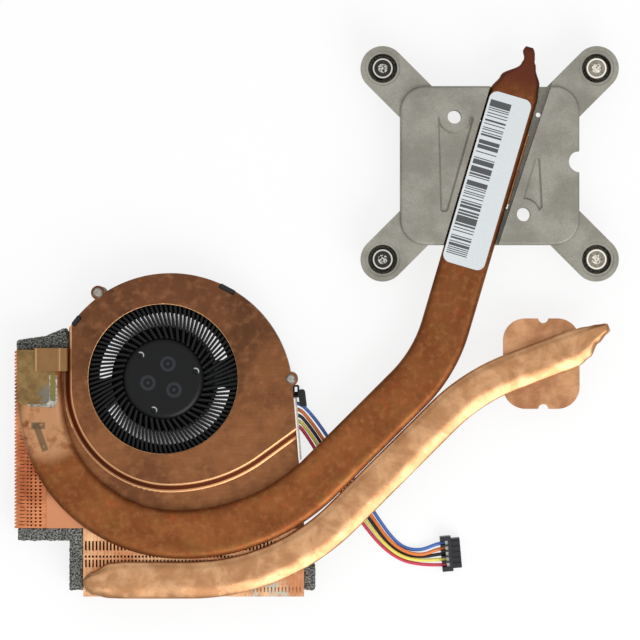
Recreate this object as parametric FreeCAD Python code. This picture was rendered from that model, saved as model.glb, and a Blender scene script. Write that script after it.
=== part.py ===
# Laptop cooling fan with two flat heat pipes, two fin stacks and a spring-screw
# bracket for the processor. All sizes are in millimetres. The origin is on the
# fan's axis in the plane of the fan's underside, +Z points up out of the air
# inlet, and the air leaves through the fins at -X and -Y.
import FreeCAD, Part
import math
import os

V = FreeCAD.Vector
UP = V(0, 0, 1)
ORIGIN = V(0, 0, 0)
WHOLE_TURN = 360

# Fan housing: moulded base with its wall, pressed copper cover
floor_thick = 0.8
wall_thick = 1.0
cover_sheet = 0.5
deck_top = 9.2
deck_drop = 1.8
step_round = 0.6
volute_x = 1.74
volute_y = -3.62
volute_r = 27.5
tongue_x = -21.2
duct_top_y = 6.9
side_outlet_x = -26.5
rear_outlet_y = -33.8
rear_left_x = -18.15
rear_right_x = 31.8
right_wall_angle = 4.7
foot_left_x = -22.45
belly_x = 1.5
belly_y = -25.55
belly_right_r = 36.3
belly_turn = 36.1
air_inlet_r = 16.85
inlet_lip = 0.2

# Lower air inlet: two openings in the floor with a strut on each side
low_inlet_r0 = 12.2
low_inlet_r1 = 15.0
low_inlet_spans = ((-152.0, -9.0), (18.0, 180.0))

# Cover screws, their ears, and the two snap hooks that hold the cover's edge
ear_r = 1.6
ear_angles = (125.4, 7.6)
ear_out = (0.8, -0.15)
boss_r = 1.5
cover_screw_r = 0.8
cover_head_r = 1.1
cover_head_h = 0.6
cover_screw_length = 6.0
cover_head_flat = 0.7
cover_head_side = 0.5
cover_cross_long = 1.1
cover_cross_wide = 0.25
cover_cross_deep = 0.3
hook_angles = (62.0, 141.8)
hook_lengths = (3.4, 2.2)
hook_deep = 0.85
hook_out = 0.1
hook_rise = 0.3
hook_root_z = 4.0
hook_clear = 0.2

# Wire exit in the right wall, the guide post and loop beside it, the film strip
exit_low_y = -11.2
exit_high_y = -4.5
exit_height = 1.7
post_x0 = 30.35
post_width = 1.6
post_high_y = -2.5
post_low_y = -6.3
post_lean = 0.45
post_top = 5.0
post_round = 0.7
post_foot_low = 1.8
post_foot_high = 0.6
post_notch_over = 0.1
post_notch_top = 0.2
loop_x = 29.95
loop_y = -2.9
loop_long = 2.9
loop_wide = 1.5
loop_hole = 0.6
loop_z0 = 3.2
loop_z1 = 4.4
strip_high_y = -4.45
strip_low_y = -18.4
strip_thick = 0.25
strip_top = 8.6
strip_bottom = 2.4
strip_lean = 0.4

# Impeller and rotor
blade_count = 47
blade_thick = 0.52
blade_root_r = 9.2
blade_mid_r = 14.0
blade_tip_r = 19.3
blade_mid_sweep = 9.0
blade_tip_sweep = 14.0
splitter_root_r = 11.7
blade_bottom = 1.9
blade_top = 7.7
rim_inner_r = 17.3
rim_thick = 0.7
hub_r = 9.5
hub_round = 1.7
hub_wall = 0.8
hub_top = 8.2
hub_cap = 0.9
gate_spots = ((1.06, 3.39), (-3.46, -0.9), (2.42, -2.49))
gate_ring_r = 1.55
gate_ring_wide = 0.3
gate_dot_r = 0.45
gate_deep = 0.12
balance_holes = ((-5.15, 5.31), (7.28, 1.7), (-2.2, -7.1))
balance_r = 0.68
balance_deep = 0.5
glue_gap = 0.05
yoke_sheet = 0.5
magnet_thick = 0.55
magnet_height = 3.6
rotor_air_gap = 0.5
shaft_r = 0.75
shaft_bore_clear = 0.03
shaft_end_gap = 0.05
shaft_chamfer = 0.15
sleeve_r = 2.0
sleeve_top = 6.1
washer_thick = 0.2
boss_wall = 0.8
stator_bottom = 3.2
stator_thick = 2.0
stator_poles = 6
pole_arm = 1.2
pole_shoe = 0.8
pole_shoe_span = 46.0
coil_thick = 0.65
coil_clear = 0.25
board_thick = 0.4
board_r = 8.0
tongue_end_x = 28.8
tongue_high_y = 2.2
tongue_low_y = -1.7
tongue_turns_x = (15.5, 24.0, 21.0, 16.5)
tongue_turn_r = 3.0
tongue_clear = 0.3

# Fin stacks
fin_pitch = 0.806
fin_sheet = 0.2
fin_space = 0.03
fin_bottom = 0.4
side_fin_count = 50
side_fin_depth = 7.15
side_stack_low_y = -33.75
rear_fin_count = 62
rear_fin_depth = 15.4
stack_joint = 0.05

# Heat pipes: a flattened pipe of 8 mm and one of 6 mm
pipe_thick = 2.5
pipe_round = 1.15
cpu_pipe_w = 11.1
cpu_pipe_end_w = 10.0
cpu_route = ((-27.9, 6.0), (-27.9, -35.15), (22.5, -35.15), (61.3, 3.65), (79.1, 64.0))
cpu_bends = (31.4, 44.6, 33.05)
cpu_near_round = 3.5
cpu_far_round = 4.0
cpu_tip = ((7.57, -3.03, 4.0), (11.89, -2.12, 1.35), (10.79, 0.89, 1.35), (7.44, 0.22, 2.5))
gpu_pipe_w = 8.4
gpu_route = ((-12.0, -45.4), (26.18, -45.4), (69.844, -1.736), (93.33, 7.15))
gpu_bends = (48.8, 44.0)
gpu_near_rounds = (6.0, 4.0)
gpu_far_rounds = (8.0, 4.0)
gpu_near_tip = ((6.3, -0.75, 1.3), (6.3, 2.35, 1.3))
gpu_far_tip = ((5.3, -0.83, 3.0), (8.39, 0.57, 1.25), (8.83, 2.86, 1.25))

# Processor bracket with its four arms and cups
bracket_x = 73.67
bracket_y = 48.53
screw_span_x = 48.25
screw_span_y = 43.1
plate_w = 40.4
plate_l = 35.8
plate_corner = 5.6
plate_shift_y = -0.4
plate_edge_round = 0.6
bracket_thick = 3.5
arm_w = 10.0
arm_drop = 0.8
arm_thick = 2.0
arm_reach = 16.0
cup_r = 4.2
cup_bore_r = 3.3
cup_floor_z = 4.4
cup_floor_thick = 1.0
cup_ring_r = 3.95
cup_ring_deep = 0.2
channel_gap = 0.15
channel_top_gap = 1.95
channel_low_gap = 0.65
peep_hole = (84.75, 59.7)
peep_r = 0.55
tool_hole_r = 1.55
tool_hole_1 = (65.7, 59.1)
tool_hole_2 = (81.3, 37.1)
side_notch_y = 49.0
side_notch_r = 2.4
rib_deep = 0.5
rib_slope = 0.45
rib_ring = 3.4
rib_round = 0.7
left_rib_corners = ((-11.77, 10.77), (-11.17, -10.93), (-9.47, -10.93), (-3.37, 10.77))
right_rib_corners = ((11.13, 4.77), (7.33, -8.33), (10.73, -10.93), (11.93, -9.93))

# Contact plates of copper
cpu_contact_size = 18.0
cpu_contact_thick = 1.4
cpu_block_w = 11.4
cpu_block_l = 17.0
window_clear = 0.3
gpu_contact_x0 = 76.85
gpu_contact_x1 = 94.1
gpu_contact_y0 = -6.8
gpu_contact_y1 = 13.67
gpu_contact_corner = 5.0
gpu_contact_thick = 1.5
gpu_notch_r = 1.21
gpu_notch_out = 0.15
gpu_notch_shift = 0.45

# Captive screws with their springs and retaining rings
head_r = 2.5
head_h = 1.4
head_top_below_arm = 0.2
cross_long = 2.3
cross_wide = 0.5
cross_deep = 0.7
head_chamfer = 0.2
thread_r = 1.25
thread_top = 2.5
thread_chamfer = 0.3
shank_r = 0.9
shank_clear = 0.65
groove_r = 0.75
groove_clear = 0.05
ring_r = 2.35
ring_thick = 0.4
ring_gap_angle = 70.0
screw_tip_z = 0.15
spring_wire_r = 0.24
spring_r = 1.95
spring_turns = 4
spring_steps = 12
spring_end_pitch = 0.55
spring_wire_sides = 6

# Cap plate, clip and solder on the end of the processor pipe
end_plate_x0 = -32.75
end_plate_x1 = -25.55
end_plate_low_y = -5.65
end_plate_short = 0.3
end_plate_thick = 0.4
end_plate_corner = 1.2
end_strip_x0 = -25.3
end_strip_x1 = -24.15
end_strip_low_y = -4.9
end_strip_high_y = 0.9
clip_x0 = -28.85
clip_x1 = -21.45
clip_y0 = 1.8
clip_y1 = 7.0
clip_sheet = 0.4
clip_lip = 1.7
solder_wide = 0.75
solder_side = 0.4
solder_high = 0.3
solder_start = 1.5
solder_taper = 0.6

# Foam strips round the fin stacks
foam_low = 0.6
foam_high = 7.2
foam_thick = 2.7
foam_gap = 0.1
foam_top_left_x = -33.1
foam_top_crest = ((-33.1, 8.6), (-26.7, 9.5), (-22.7, 11.3))
foam_top_right_y = 9.6
foam_bottom_left_x = -32.8
foam_rear_low_y = -47.7
foam_left_wide = 2.9
foam_right_wide = 2.2
foam_right_high_y = -42.3

# Label on the processor pipe
label_l = 40.0
label_w = 9.7
label_thick = 0.1
label_x = 73.04
label_y = 44.64
label_corner = 1.8

# Fan wires and their plug
wire_d = 0.8
plug_x = 65.5
plug_y = -39.9
plug_turn = 5.0
plug_w = 8.0
plug_high = 2.9
plug_back = 2.45
plug_nose = 2.0
plug_nose_w = 6.8
plug_nose_drop = 0.4
plug_ribs = 5
wire_pitch = 1.25
slot_wide = 0.9
slot_long = 1.75
slot_floor = 1.05
terminal_long = 0.65

# Each wire's route, from the motor board's tongue to its slot in the plug
blue_route = (
    (27.9, -5.3, 1.63), (30.6, -5.45, 1.6), (33.3, -8.0, 1.1), (36.9, -12.9, 0.6),
    (42.6, -22.3, 0.42), (48.2, -31.4, 0.42), (51.9, -36.6, 0.42), (54.9, -39.0, 0.42),
    (58.6, -39.35, 0.85), (62.343, -37.667, 1.47), (63.887, -37.532, 1.47))
orange_route = (
    (27.9, -6.6, 1.63), (30.55, -6.75, 1.6), (32.9, -9.3, 1.1), (36.1, -13.8, 0.6),
    (41.7, -22.9, 0.45), (47.0, -31.25, 0.75), (51.2, -37.2, 1.2), (54.9, -39.75, 1.28),
    (58.9, -40.45, 1.3), (62.452, -38.912, 1.47), (63.996, -38.777, 1.47))
black_route = (
    (27.9, -7.9, 1.63), (30.5, -8.05, 1.6), (32.6, -10.4, 1.1), (35.5, -14.5, 0.5),
    (41.0, -23.5, 0.42), (46.1, -31.5, 0.42), (50.6, -37.4, 0.42), (54.5, -40.3, 0.42),
    (58.9, -40.95, 0.42), (62.561, -40.157, 1.47), (64.105, -40.022, 1.47))
yellow_route = (
    (27.9, -9.2, 1.63), (30.4, -9.3, 1.6), (32.35, -11.5, 1.15), (34.9, -15.2, 0.65),
    (40.3, -24.1, 0.45), (45.5, -32.2, 0.7), (50.2, -38.1, 1.2), (54.4, -41.0, 1.28),
    (58.6, -41.65, 1.3), (62.67, -41.402, 1.47), (64.214, -41.267, 1.47))
red_route = (
    (27.9, -10.4, 1.63), (30.4, -10.55, 1.6), (32.0, -12.55, 1.12), (34.25, -16.1, 0.5),
    (39.6, -25.0, 0.42), (44.8, -32.8, 0.42), (49.6, -38.7, 0.42), (54.2, -41.8, 0.42),
    (58.6, -42.6, 0.8), (62.779, -42.648, 1.47), (64.323, -42.512, 1.47))

# Heights that follow from the sizes above
shelf_top = deck_top - deck_drop
shelf_under = shelf_top - cover_sheet
deck_under = deck_top - cover_sheet
pipe_top = shelf_top + pipe_thick
bracket_under = pipe_top - bracket_thick
arm_top = pipe_top - arm_drop
arm_under = arm_top - arm_thick
head_top = arm_top - head_top_below_arm
head_under = head_top - head_h
cup_under = cup_floor_z - cup_floor_thick


def polar(radius, degrees, x=0.0, y=0.0):
    angle = math.radians(degrees)
    return V(x + radius * math.cos(angle), y + radius * math.sin(angle), 0)


def closed(start, *steps):
    """A closed outline. A step is a point, or a pair (middle, end) for an arc."""
    edges = []
    here = start
    for step in steps + (start,):
        if isinstance(step, tuple):
            edges.append(Part.Arc(here, step[0], step[1]).toShape())
            here = step[1]
        elif (step - here).Length > 1e-6:
            edges.append(Part.LineSegment(here, step).toShape())
            here = step
    return Part.Wire(edges)


def rounded(corners):
    """A closed outline with a radius at each corner, given as (x, y, radius)."""
    steps = []
    count = len(corners)
    for i in range(count):
        before = V(*corners[i - 1][:2])
        corner = V(*corners[i][:2])
        after = V(*corners[(i + 1) % count][:2])
        radius = corners[i][2]
        if radius <= 0:
            steps.append(corner)
            continue
        steps.extend(corner_arc(before, corner, after, radius))
    outline_steps = []
    here = steps[0]
    for step in steps[1:]:
        if isinstance(step, tuple):
            outline_steps.append(step)
            here = step[1]
        elif (step - here).Length > 1e-3:
            outline_steps.append(step)
            here = step
    last = outline_steps[-1]
    if isinstance(last, tuple) and (last[1] - steps[0]).Length < 1e-3:
        outline_steps[-1] = (last[0], steps[0])
    return closed(steps[0], *outline_steps)


def corner_arc(before, corner, after, radius):
    """The point where a corner's arc starts and the arc's (middle, end)."""
    back = (before - corner).normalize()
    on = (after - corner).normalize()
    half = back.getAngle(on) / 2
    reach = radius / math.tan(half)
    to_centre = (back + on).normalize()
    middle = corner + to_centre * (radius / math.sin(half) - radius)
    return [corner + back * reach, (middle, corner + on * reach)]


def slab(wire, bottom, height):
    return Part.Face(wire).translated(UP * bottom).extrude(UP * height)


def disc(radius, bottom, height, x=0.0, y=0.0):
    return Part.makeCylinder(radius, height, V(x, y, bottom))


def block(x0, y0, z0, x1, y1, z1):
    return Part.makeBox(x1 - x0, y1 - y0, z1 - z0, V(x0, y0, z0))


def turned(profile, x=0.0, y=0.0):
    """A body of revolution about the vertical line at (x, y), from (radius, z)."""
    points = [V(x + radius, y, z) for radius, z in profile]
    face = Part.Face(Part.makePolygon(points + points[:1]))
    return face.revolve(V(x, y, 0), UP, WHOLE_TURN)


def sector(r0, r1, start, end, bottom, height):
    """Part of a ring between two angles."""
    middle = (start + end) / 2
    wire = closed(
        polar(r0, start), polar(r1, start), (polar(r1, middle), polar(r1, end)),
        polar(r0, end), (polar(r0, middle), polar(r0, start)))
    return slab(wire, bottom, height)


def meet(point, heading, other, other_heading):
    """Where two lines in the plane cross."""
    gap = other - point
    across = heading.x * other_heading.y - heading.y * other_heading.x
    along = (gap.x * other_heading.y - gap.y * other_heading.x) / across
    return point + heading * along


def edges_on(solid, guide):
    """The solid's edges whose middle lies on a guide wire."""
    found = []
    for edge in solid.Edges:
        middle = edge.valueAt((edge.FirstParameter + edge.LastParameter) / 2)
        if guide.distToShape(Part.Vertex(middle))[0] < 1e-4:
            found.append(edge)
    return found


def level_edges(solid, height):
    """The solid's edges that lie at one height."""
    return [e for e in solid.Edges if abs(e.BoundBox.ZMin - height) + abs(e.BoundBox.ZMax - height) < 1e-4]


def save(name, shape):
    shape.exportStep("parts/" + name + ".step")


# The housing's outlines, seen from above
def volute_point(degrees, inset=0.0):
    return polar(volute_r - inset, degrees, volute_x, volute_y)


def volute_start(inset=0.0):
    """The angle at which the round wall begins at the tongue."""
    across = tongue_x + inset - volute_x
    return math.degrees(math.acos(across / (volute_r - inset)))


def right_wall_x(y, inset=0.0):
    top = volute_point(right_wall_angle)
    share = (y - top.y) / (rear_outlet_y - top.y)
    return top.x + share * (rear_right_x - top.x) - inset


def foot_points():
    """Corners of the line where the raised deck's slope meets the shelf."""
    left_r = belly_x - foot_left_x
    left_centre = V(belly_x, belly_y + left_r, 0)
    right_centre = V(belly_x, belly_y + belly_right_r, 0)
    left_top = V(foot_left_x, duct_top_y, 0)
    left_low = V(foot_left_x, left_centre.y, 0)
    left_mid = polar(left_r, 225, left_centre.x, left_centre.y)
    lowest = V(belly_x, belly_y, 0)
    right_mid = polar(belly_right_r, -90 + belly_turn / 2, right_centre.x, right_centre.y)
    right_end = polar(belly_right_r, -90 + belly_turn, right_centre.x, right_centre.y)
    top = volute_point(right_wall_angle)
    wall_line = V(rear_right_x, rear_outlet_y, 0) - top
    at_wall = meet(right_end, polar(1, belly_turn), top, wall_line)
    return left_top, left_low, left_mid, lowest, right_mid, right_end, at_wall


def foot_line():
    left_top, left_low, left_mid, lowest, right_mid, right_end, at_wall = foot_points()
    return Part.Wire([
        Part.LineSegment(left_top, left_low).toShape(),
        Part.Arc(left_low, left_mid, lowest).toShape(),
        Part.Arc(lowest, right_mid, right_end).toShape(),
        Part.LineSegment(right_end, at_wall).toShape()])


def deck_outline():
    left_top, left_low, left_mid, lowest, right_mid, right_end, at_wall = foot_points()
    start = volute_start()
    return closed(
        left_top, V(tongue_x, duct_top_y, 0), volute_point(start),
        (volute_point((start + right_wall_angle) / 2), volute_point(right_wall_angle)),
        at_wall, right_end, (right_mid, lowest), (left_mid, left_low))


def shelf_outline():
    return closed(
        V(side_outlet_x, duct_top_y, 0), V(side_outlet_x, rear_outlet_y, 0),
        V(rear_right_x, rear_outlet_y, 0), volute_point(right_wall_angle),
        V(foot_left_x, duct_top_y, 0))


def cavity_outline():
    """Inner faces of the wall; it runs past both outlets to leave them open."""
    past = 2.0
    start = volute_start(wall_thick)
    end = right_wall_angle
    return closed(
        V(side_outlet_x - past, duct_top_y - wall_thick, 0),
        V(tongue_x + wall_thick, duct_top_y - wall_thick, 0),
        volute_point(start, wall_thick),
        (volute_point((start + end) / 2, wall_thick), volute_point(end, wall_thick)),
        V(rear_right_x - wall_thick, rear_outlet_y, 0),
        V(rear_right_x - wall_thick, rear_outlet_y - past, 0),
        V(rear_left_x, rear_outlet_y - past, 0),
        V(rear_left_x, rear_outlet_y + wall_thick, 0),
        V(side_outlet_x - past, rear_outlet_y + wall_thick, 0))


def raised_form(top, bottom):
    """The deck as a block with the sloped step along its foot."""
    form = slab(deck_outline(), bottom, top - bottom)
    return form.makeChamfer(deck_drop, edges_on(form, foot_line().translated(UP * top)))


def step_edges(form):
    """The crest and the foot of the cover's sloped step."""
    rim = edges_on(form, deck_outline().translated(UP * deck_top))
    crest = [e for e in level_edges(form, deck_top) if not any(e.isSame(other) for other in rim)]
    return crest + edges_on(form, foot_line().translated(UP * shelf_top))


def ear_centre(i):
    return volute_point(ear_angles[i], -ear_out[i])


def hook_box(i, slack, bottom, top):
    """The block of a snap hook, or with slack the notch for it in the cover."""
    half = hook_lengths[i] / 2 + slack
    outer = volute_r + hook_out + 4 * slack
    shape = block(volute_r - hook_deep - slack, -half, bottom, outer, half, top)
    return shape.rotated(ORIGIN, UP, hook_angles[i]).translated(V(volute_x, volute_y, 0))


def fan_cover():
    form = raised_form(deck_top, shelf_under)
    form = form.fuse(slab(shelf_outline(), shelf_under, cover_sheet)).removeSplitter()
    form = form.makeFillet(step_round, step_edges(form))
    for i in range(len(ear_angles)):
        centre = ear_centre(i)
        form = form.fuse(disc(ear_r, deck_under, cover_sheet, centre.x, centre.y))
    form = form.cut(raised_form(deck_under, 0))
    form = form.cut(disc(air_inlet_r, 0, 2 * deck_top))
    for i in range(len(ear_angles)):
        centre = ear_centre(i)
        form = form.cut(disc(cover_screw_r, 0, 2 * deck_top, centre.x, centre.y))
        form = form.cut(hook_box(i, hook_clear, deck_under - 1, deck_top + 1))
    form = form.removeSplitter()
    rim = Part.Wire(Part.makeCircle(air_inlet_r, UP * deck_top))
    return form.makeFillet(inlet_lip, edges_on(form, rim))


def fan_base():
    full = slab(deck_outline(), 0, deck_top).fuse(slab(shelf_outline(), 0, deck_top))
    room = raised_form(deck_under, 0).fuse(slab(shelf_outline(), 0, shelf_under))
    base = full.cut(slab(cavity_outline(), floor_thick, deck_top)).common(room)
    for i in range(len(ear_angles)):
        centre = ear_centre(i)
        base = base.fuse(disc(boss_r, 0, deck_under, centre.x, centre.y))
        base = base.fuse(hook_box(i, 0, hook_root_z, deck_top + hook_rise))
    motor_boss_r = sleeve_r + boss_wall
    base = base.fuse(disc(motor_boss_r, 0, sleeve_top))
    base = base.cut(disc(sleeve_r, floor_thick, sleeve_top))
    for start, end in low_inlet_spans:
        base = base.cut(sector(low_inlet_r0, low_inlet_r1, start, end, -1, 2 * floor_thick + 1))
    gap_x = right_wall_x(exit_low_y)
    base = base.cut(block(
        gap_x - 2 * wall_thick, exit_low_y, floor_thick, gap_x + wall_thick, exit_high_y,
        floor_thick + exit_height))
    base = base.fuse(guide_post()).fuse(guide_loop())
    for i in range(len(ear_angles)):
        centre = ear_centre(i)
        hole_bottom = deck_top - cover_screw_length
        base = base.cut(disc(cover_screw_r, hole_bottom, deck_top, centre.x, centre.y))
    return base.removeSplitter()


def guide_post():
    """The round-topped post beside the wire exit, with a foot into the wall."""
    x1 = post_x0 + post_width
    post = slab(rounded((
        (post_x0, post_high_y, post_round), (post_x0 + post_lean, post_low_y, 0),
        (x1 + post_lean, post_low_y, 0), (x1, post_high_y, post_round))), 0, post_top)
    foot = block(right_wall_x(post_high_y, wall_thick), post_high_y - post_foot_low, 0,
                 post_x0 + post_width / 2, post_high_y - post_foot_high, floor_thick)
    room = block(post_x0 - post_notch_over, post_low_y - 1, floor_thick,
                 x1 + post_width, exit_high_y - post_notch_top, floor_thick + exit_height)
    return post.fuse(foot).cut(room)


def guide_loop():
    """The small eye on the wall through which the wires can be laced."""
    x0 = loop_x - loop_wide / 2
    x1 = loop_x + loop_wide / 2
    y0 = loop_y - loop_long / 2
    y1 = loop_y + loop_long / 2
    ring = (loop_wide - loop_hole) / 2
    outer = rounded(((x0, y0, ring), (x1, y0, ring), (x1, y1, ring), (x0, y1, ring)))
    eye = slab(outer, loop_z0, loop_z1 - loop_z0)
    return eye.cut(block(x0 + ring, y0 + ring, 0, x1 - ring, y1 - ring, deck_top))


def wire_shield_strip():
    """The film that stands against the wall over the wire exit."""
    top_x = right_wall_x(strip_high_y) + 0.05
    low_x = top_x + strip_lean
    profile = Part.makePolygon([
        V(top_x, strip_high_y, strip_top), V(top_x + strip_thick, strip_high_y, strip_top),
        V(low_x + strip_thick, strip_high_y, strip_bottom), V(low_x, strip_high_y, strip_bottom),
        V(top_x, strip_high_y, strip_top)])
    along = V(right_wall_x(strip_low_y) - right_wall_x(strip_high_y), strip_low_y - strip_high_y, 0)
    return Part.Face(profile).extrude(along)


def cover_screws():
    screws = []
    for i in range(len(ear_angles)):
        centre = ear_centre(i)
        top = deck_top + cover_head_h
        end = deck_top - cover_screw_length
        screw = turned((
            (0, top), (cover_head_r * cover_head_flat, top),
            (cover_head_r, deck_top + cover_head_h * cover_head_side), (cover_head_r, deck_top),
            (cover_screw_r, deck_top), (cover_screw_r, end), (0, end)), centre.x, centre.y)
        screws.append(cross_cut(screw, centre, top, cover_cross_long, cover_cross_wide, cover_cross_deep))
    return Part.makeCompound(screws)


def cross_cut(screw, centre, top, length, width, depth):
    """Cuts a cross recess into a screw's head."""
    for a, b in ((length, width), (width, length)):
        screw = screw.cut(block(
            centre.x - a / 2, centre.y - b / 2, top - depth,
            centre.x + a / 2, centre.y + b / 2, top + 1))
    return screw


# The rotor, the bearing and the stator
def blade():
    """One full-length blade, curved back against the sense of rotation."""
    root = polar(blade_root_r, 0)
    middle = polar(blade_mid_r, blade_mid_sweep)
    tip = polar(blade_tip_r, blade_tip_sweep)
    side = []
    for point, before, after in ((root, root, middle), (middle, root, tip), (tip, middle, tip)):
        heading = (after - before).normalize()
        side.append((point, V(-heading.y, heading.x, 0) * (blade_thick / 2)))
    left = [point + offset for point, offset in side]
    right = [point - offset for point, offset in side]
    wire = closed(left[0], (left[1], left[2]), right[2], (right[1], right[0]))
    return slab(wire, blade_bottom, blade_top - blade_bottom)


def impeller():
    skirt_r = hub_r - hub_wall
    hub = turned((
        (0, hub_top), (hub_r, hub_top), (hub_r, blade_bottom), (skirt_r, blade_bottom),
        (skirt_r, hub_top - hub_cap), (0, hub_top - hub_cap)))
    hub = hub.makeFillet(hub_round, level_edges(hub, hub_top))
    for x, y in gate_spots:
        ring = disc(gate_ring_r, hub_top - gate_deep, 1, x, y)
        ring = ring.cut(disc(gate_ring_r - gate_ring_wide, 0, 2 * hub_top, x, y))
        hub = hub.cut(ring).cut(disc(gate_dot_r, hub_top - gate_deep, 1, x, y))
    for x, y in balance_holes:
        hub = hub.cut(disc(balance_r, hub_top - balance_deep, 1, x, y))
    rim = disc(blade_tip_r, blade_bottom, rim_thick).cut(disc(rim_inner_r, 0, hub_top))
    full = blade()
    splitter = full.cut(disc(splitter_root_r, 0, hub_top))
    step = WHOLE_TURN / blade_count
    blades = []
    for i in range(blade_count):
        blades.append(full.rotated(ORIGIN, UP, i * step))
        blades.append(splitter.rotated(ORIGIN, UP, (i + 0.5) * step))
    return hub.multiFuse([rim] + blades)


def rotor_yoke():
    outer = hub_r - hub_wall - glue_gap
    top = hub_top - hub_cap
    under = top - yoke_sheet
    return turned((
        (shaft_r, top), (outer, top), (outer, magnet_bottom()), (outer - yoke_sheet, magnet_bottom()),
        (outer - yoke_sheet, under), (shaft_r, under)))


def magnet_bottom():
    return stator_bottom + stator_thick / 2 - magnet_height / 2


def magnet_outer():
    return hub_r - hub_wall - 2 * glue_gap - yoke_sheet


def rotor_magnet():
    outer = magnet_outer()
    ring = disc(outer, magnet_bottom(), magnet_height)
    return ring.cut(disc(outer - magnet_thick, 0, hub_top))


def rotor_shaft():
    bottom = floor_thick + washer_thick + shaft_end_gap
    top = hub_top - hub_cap - glue_gap
    shaft = disc(shaft_r, bottom, top - bottom)
    return shaft.makeChamfer(shaft_chamfer, level_edges(shaft, bottom))


def bearing_sleeve():
    bottom = floor_thick + washer_thick
    ring = disc(sleeve_r, bottom, sleeve_top - bottom)
    return ring.cut(disc(shaft_r + shaft_bore_clear, 0, hub_top))


def thrust_washer():
    return disc(sleeve_r - glue_gap, floor_thick, washer_thick)


def stator_outer():
    return magnet_outer() - magnet_thick - rotor_air_gap


def stator_core():
    inner = sleeve_r + boss_wall
    outer = stator_outer()
    core = disc(inner + pole_arm, stator_bottom, stator_thick)
    step = WHOLE_TURN / stator_poles
    for i in range(stator_poles):
        arm = block(inner, -pole_arm / 2, stator_bottom, outer - pole_shoe / 2, pole_arm / 2,
                    stator_bottom + stator_thick)
        shoe = sector(outer - pole_shoe, outer, -pole_shoe_span / 2, pole_shoe_span / 2,
                      stator_bottom, stator_thick)
        core = core.fuse(arm.fuse(shoe).rotated(ORIGIN, UP, i * step))
    return core.cut(disc(inner, 0, hub_top)).removeSplitter()


def stator_coils():
    inner = sleeve_r + boss_wall + pole_arm + coil_clear
    outer = stator_outer() - pole_shoe - coil_clear
    half = pole_arm / 2
    coils = []
    for i in range(stator_poles):
        coil = block(inner, -half - coil_thick, stator_bottom - coil_thick,
                     outer, half + coil_thick, stator_bottom + stator_thick + coil_thick)
        coil = coil.makeFillet(coil_thick * 0.8, [e for e in coil.Edges if abs(e.tangentAt(0).x) > 0.9])
        coil = coil.cut(block(0, -half, stator_bottom, hub_r, half, stator_bottom + stator_thick))
        coils.append(coil.rotated(ORIGIN, UP, i * WHOLE_TURN / stator_poles))
    return Part.makeCompound(coils)


def motor_circuit_board():
    """Round board under the stator, with a tongue along the strut to the exit."""
    round_part = disc(board_r, floor_thick, board_thick)
    low = exit_low_y + tongue_clear
    high = exit_high_y - tongue_clear
    x1, x2, x3, x4 = tongue_turns_x
    tongue = slab(rounded((
        (0, tongue_high_y, 0), (0, tongue_low_y, 0), (x1, tongue_low_y, tongue_turn_r),
        (x2, low, tongue_turn_r), (tongue_end_x, low, 0), (tongue_end_x, high, 0),
        (x3, high, tongue_turn_r), (x4, tongue_high_y, tongue_turn_r))), floor_thick, board_thick)
    return round_part.fuse(tongue).cut(disc(sleeve_r + boss_wall, 0, hub_top)).removeSplitter()


# Fin stacks
def fin_row(count, depth):
    """Folded fins side by side along +X, their air gaps open along Y."""
    reach = fin_pitch - fin_space
    high = shelf_top - fin_bottom
    fins = []
    for i in range(count):
        x = i * fin_pitch
        corners = (
            (0, 0), (reach, 0), (reach, fin_sheet), (fin_sheet, fin_sheet),
            (fin_sheet, high - fin_sheet), (reach, high - fin_sheet), (reach, high), (0, high))
        points = [V(x + u, 0, fin_bottom + w) for u, w in corners]
        fins.append(Part.Face(Part.makePolygon(points + points[:1])).extrude(V(0, depth, 0)))
    return Part.makeCompound(fins)


def side_fin_stack():
    row = fin_row(side_fin_count, side_fin_depth)
    return row.rotated(ORIGIN, UP, 90).translated(V(side_outlet_x - stack_joint, side_stack_low_y, 0))


def rear_fin_stack():
    row = fin_row(rear_fin_count, rear_fin_depth)
    return row.translated(V(rear_left_x, rear_outlet_y - stack_joint - rear_fin_depth, 0))


# Heat pipes
def pipe_sides(route, widths, bends):
    """Corners of both long edges of a bent flat pipe, as (x, y, radius)."""
    points = [V(x, y, 0) for x, y in route]
    headings = [(b - a).normalize() for a, b in zip(points, points[1:])]
    sides = ([], [])
    for side, sign in zip(sides, (1, -1)):
        shifts = [V(-h.y, h.x, 0) * (sign * w / 2) for h, w in zip(headings, widths)]
        side.append((points[0] + shifts[0], 0))
        for i, bend in enumerate(bends):
            corner = meet(points[i] + shifts[i], headings[i], points[i + 1] + shifts[i + 1], headings[i + 1])
            turn = headings[i].x * headings[i + 1].y - headings[i].y * headings[i + 1].x
            half = min(widths[i], widths[i + 1]) / 2
            side.append((corner, bend - math.copysign(half, turn) * sign))
        side.append((points[-1] + shifts[-1], 0))
    return [[(p.x, p.y, r) for p, r in side] for side in sides]


def flat_pipe(left, right, near_tip, far_tip):
    """A flattened pipe from its two long edges and the corners of its tips."""
    outline = rounded(right + far_tip + left[::-1] + near_tip)
    pipe = slab(outline, shelf_top, pipe_thick)
    return pipe.makeFillet(pipe_round, level_edges(pipe, shelf_top) + level_edges(pipe, pipe_top))


def with_radius(corner, radius):
    return corner[:2] + (radius,)


def beyond(end, before, tip):
    """A tip's corners past a pipe's end, given as (ahead, to the left, radius)."""
    end = V(*end, 0)
    ahead = (end - V(*before, 0)).normalize()
    left = V(-ahead.y, ahead.x, 0)
    places = [(end + ahead * a + left * b, radius) for a, b, radius in tip]
    return [(place.x, place.y, radius) for place, radius in places]


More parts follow.
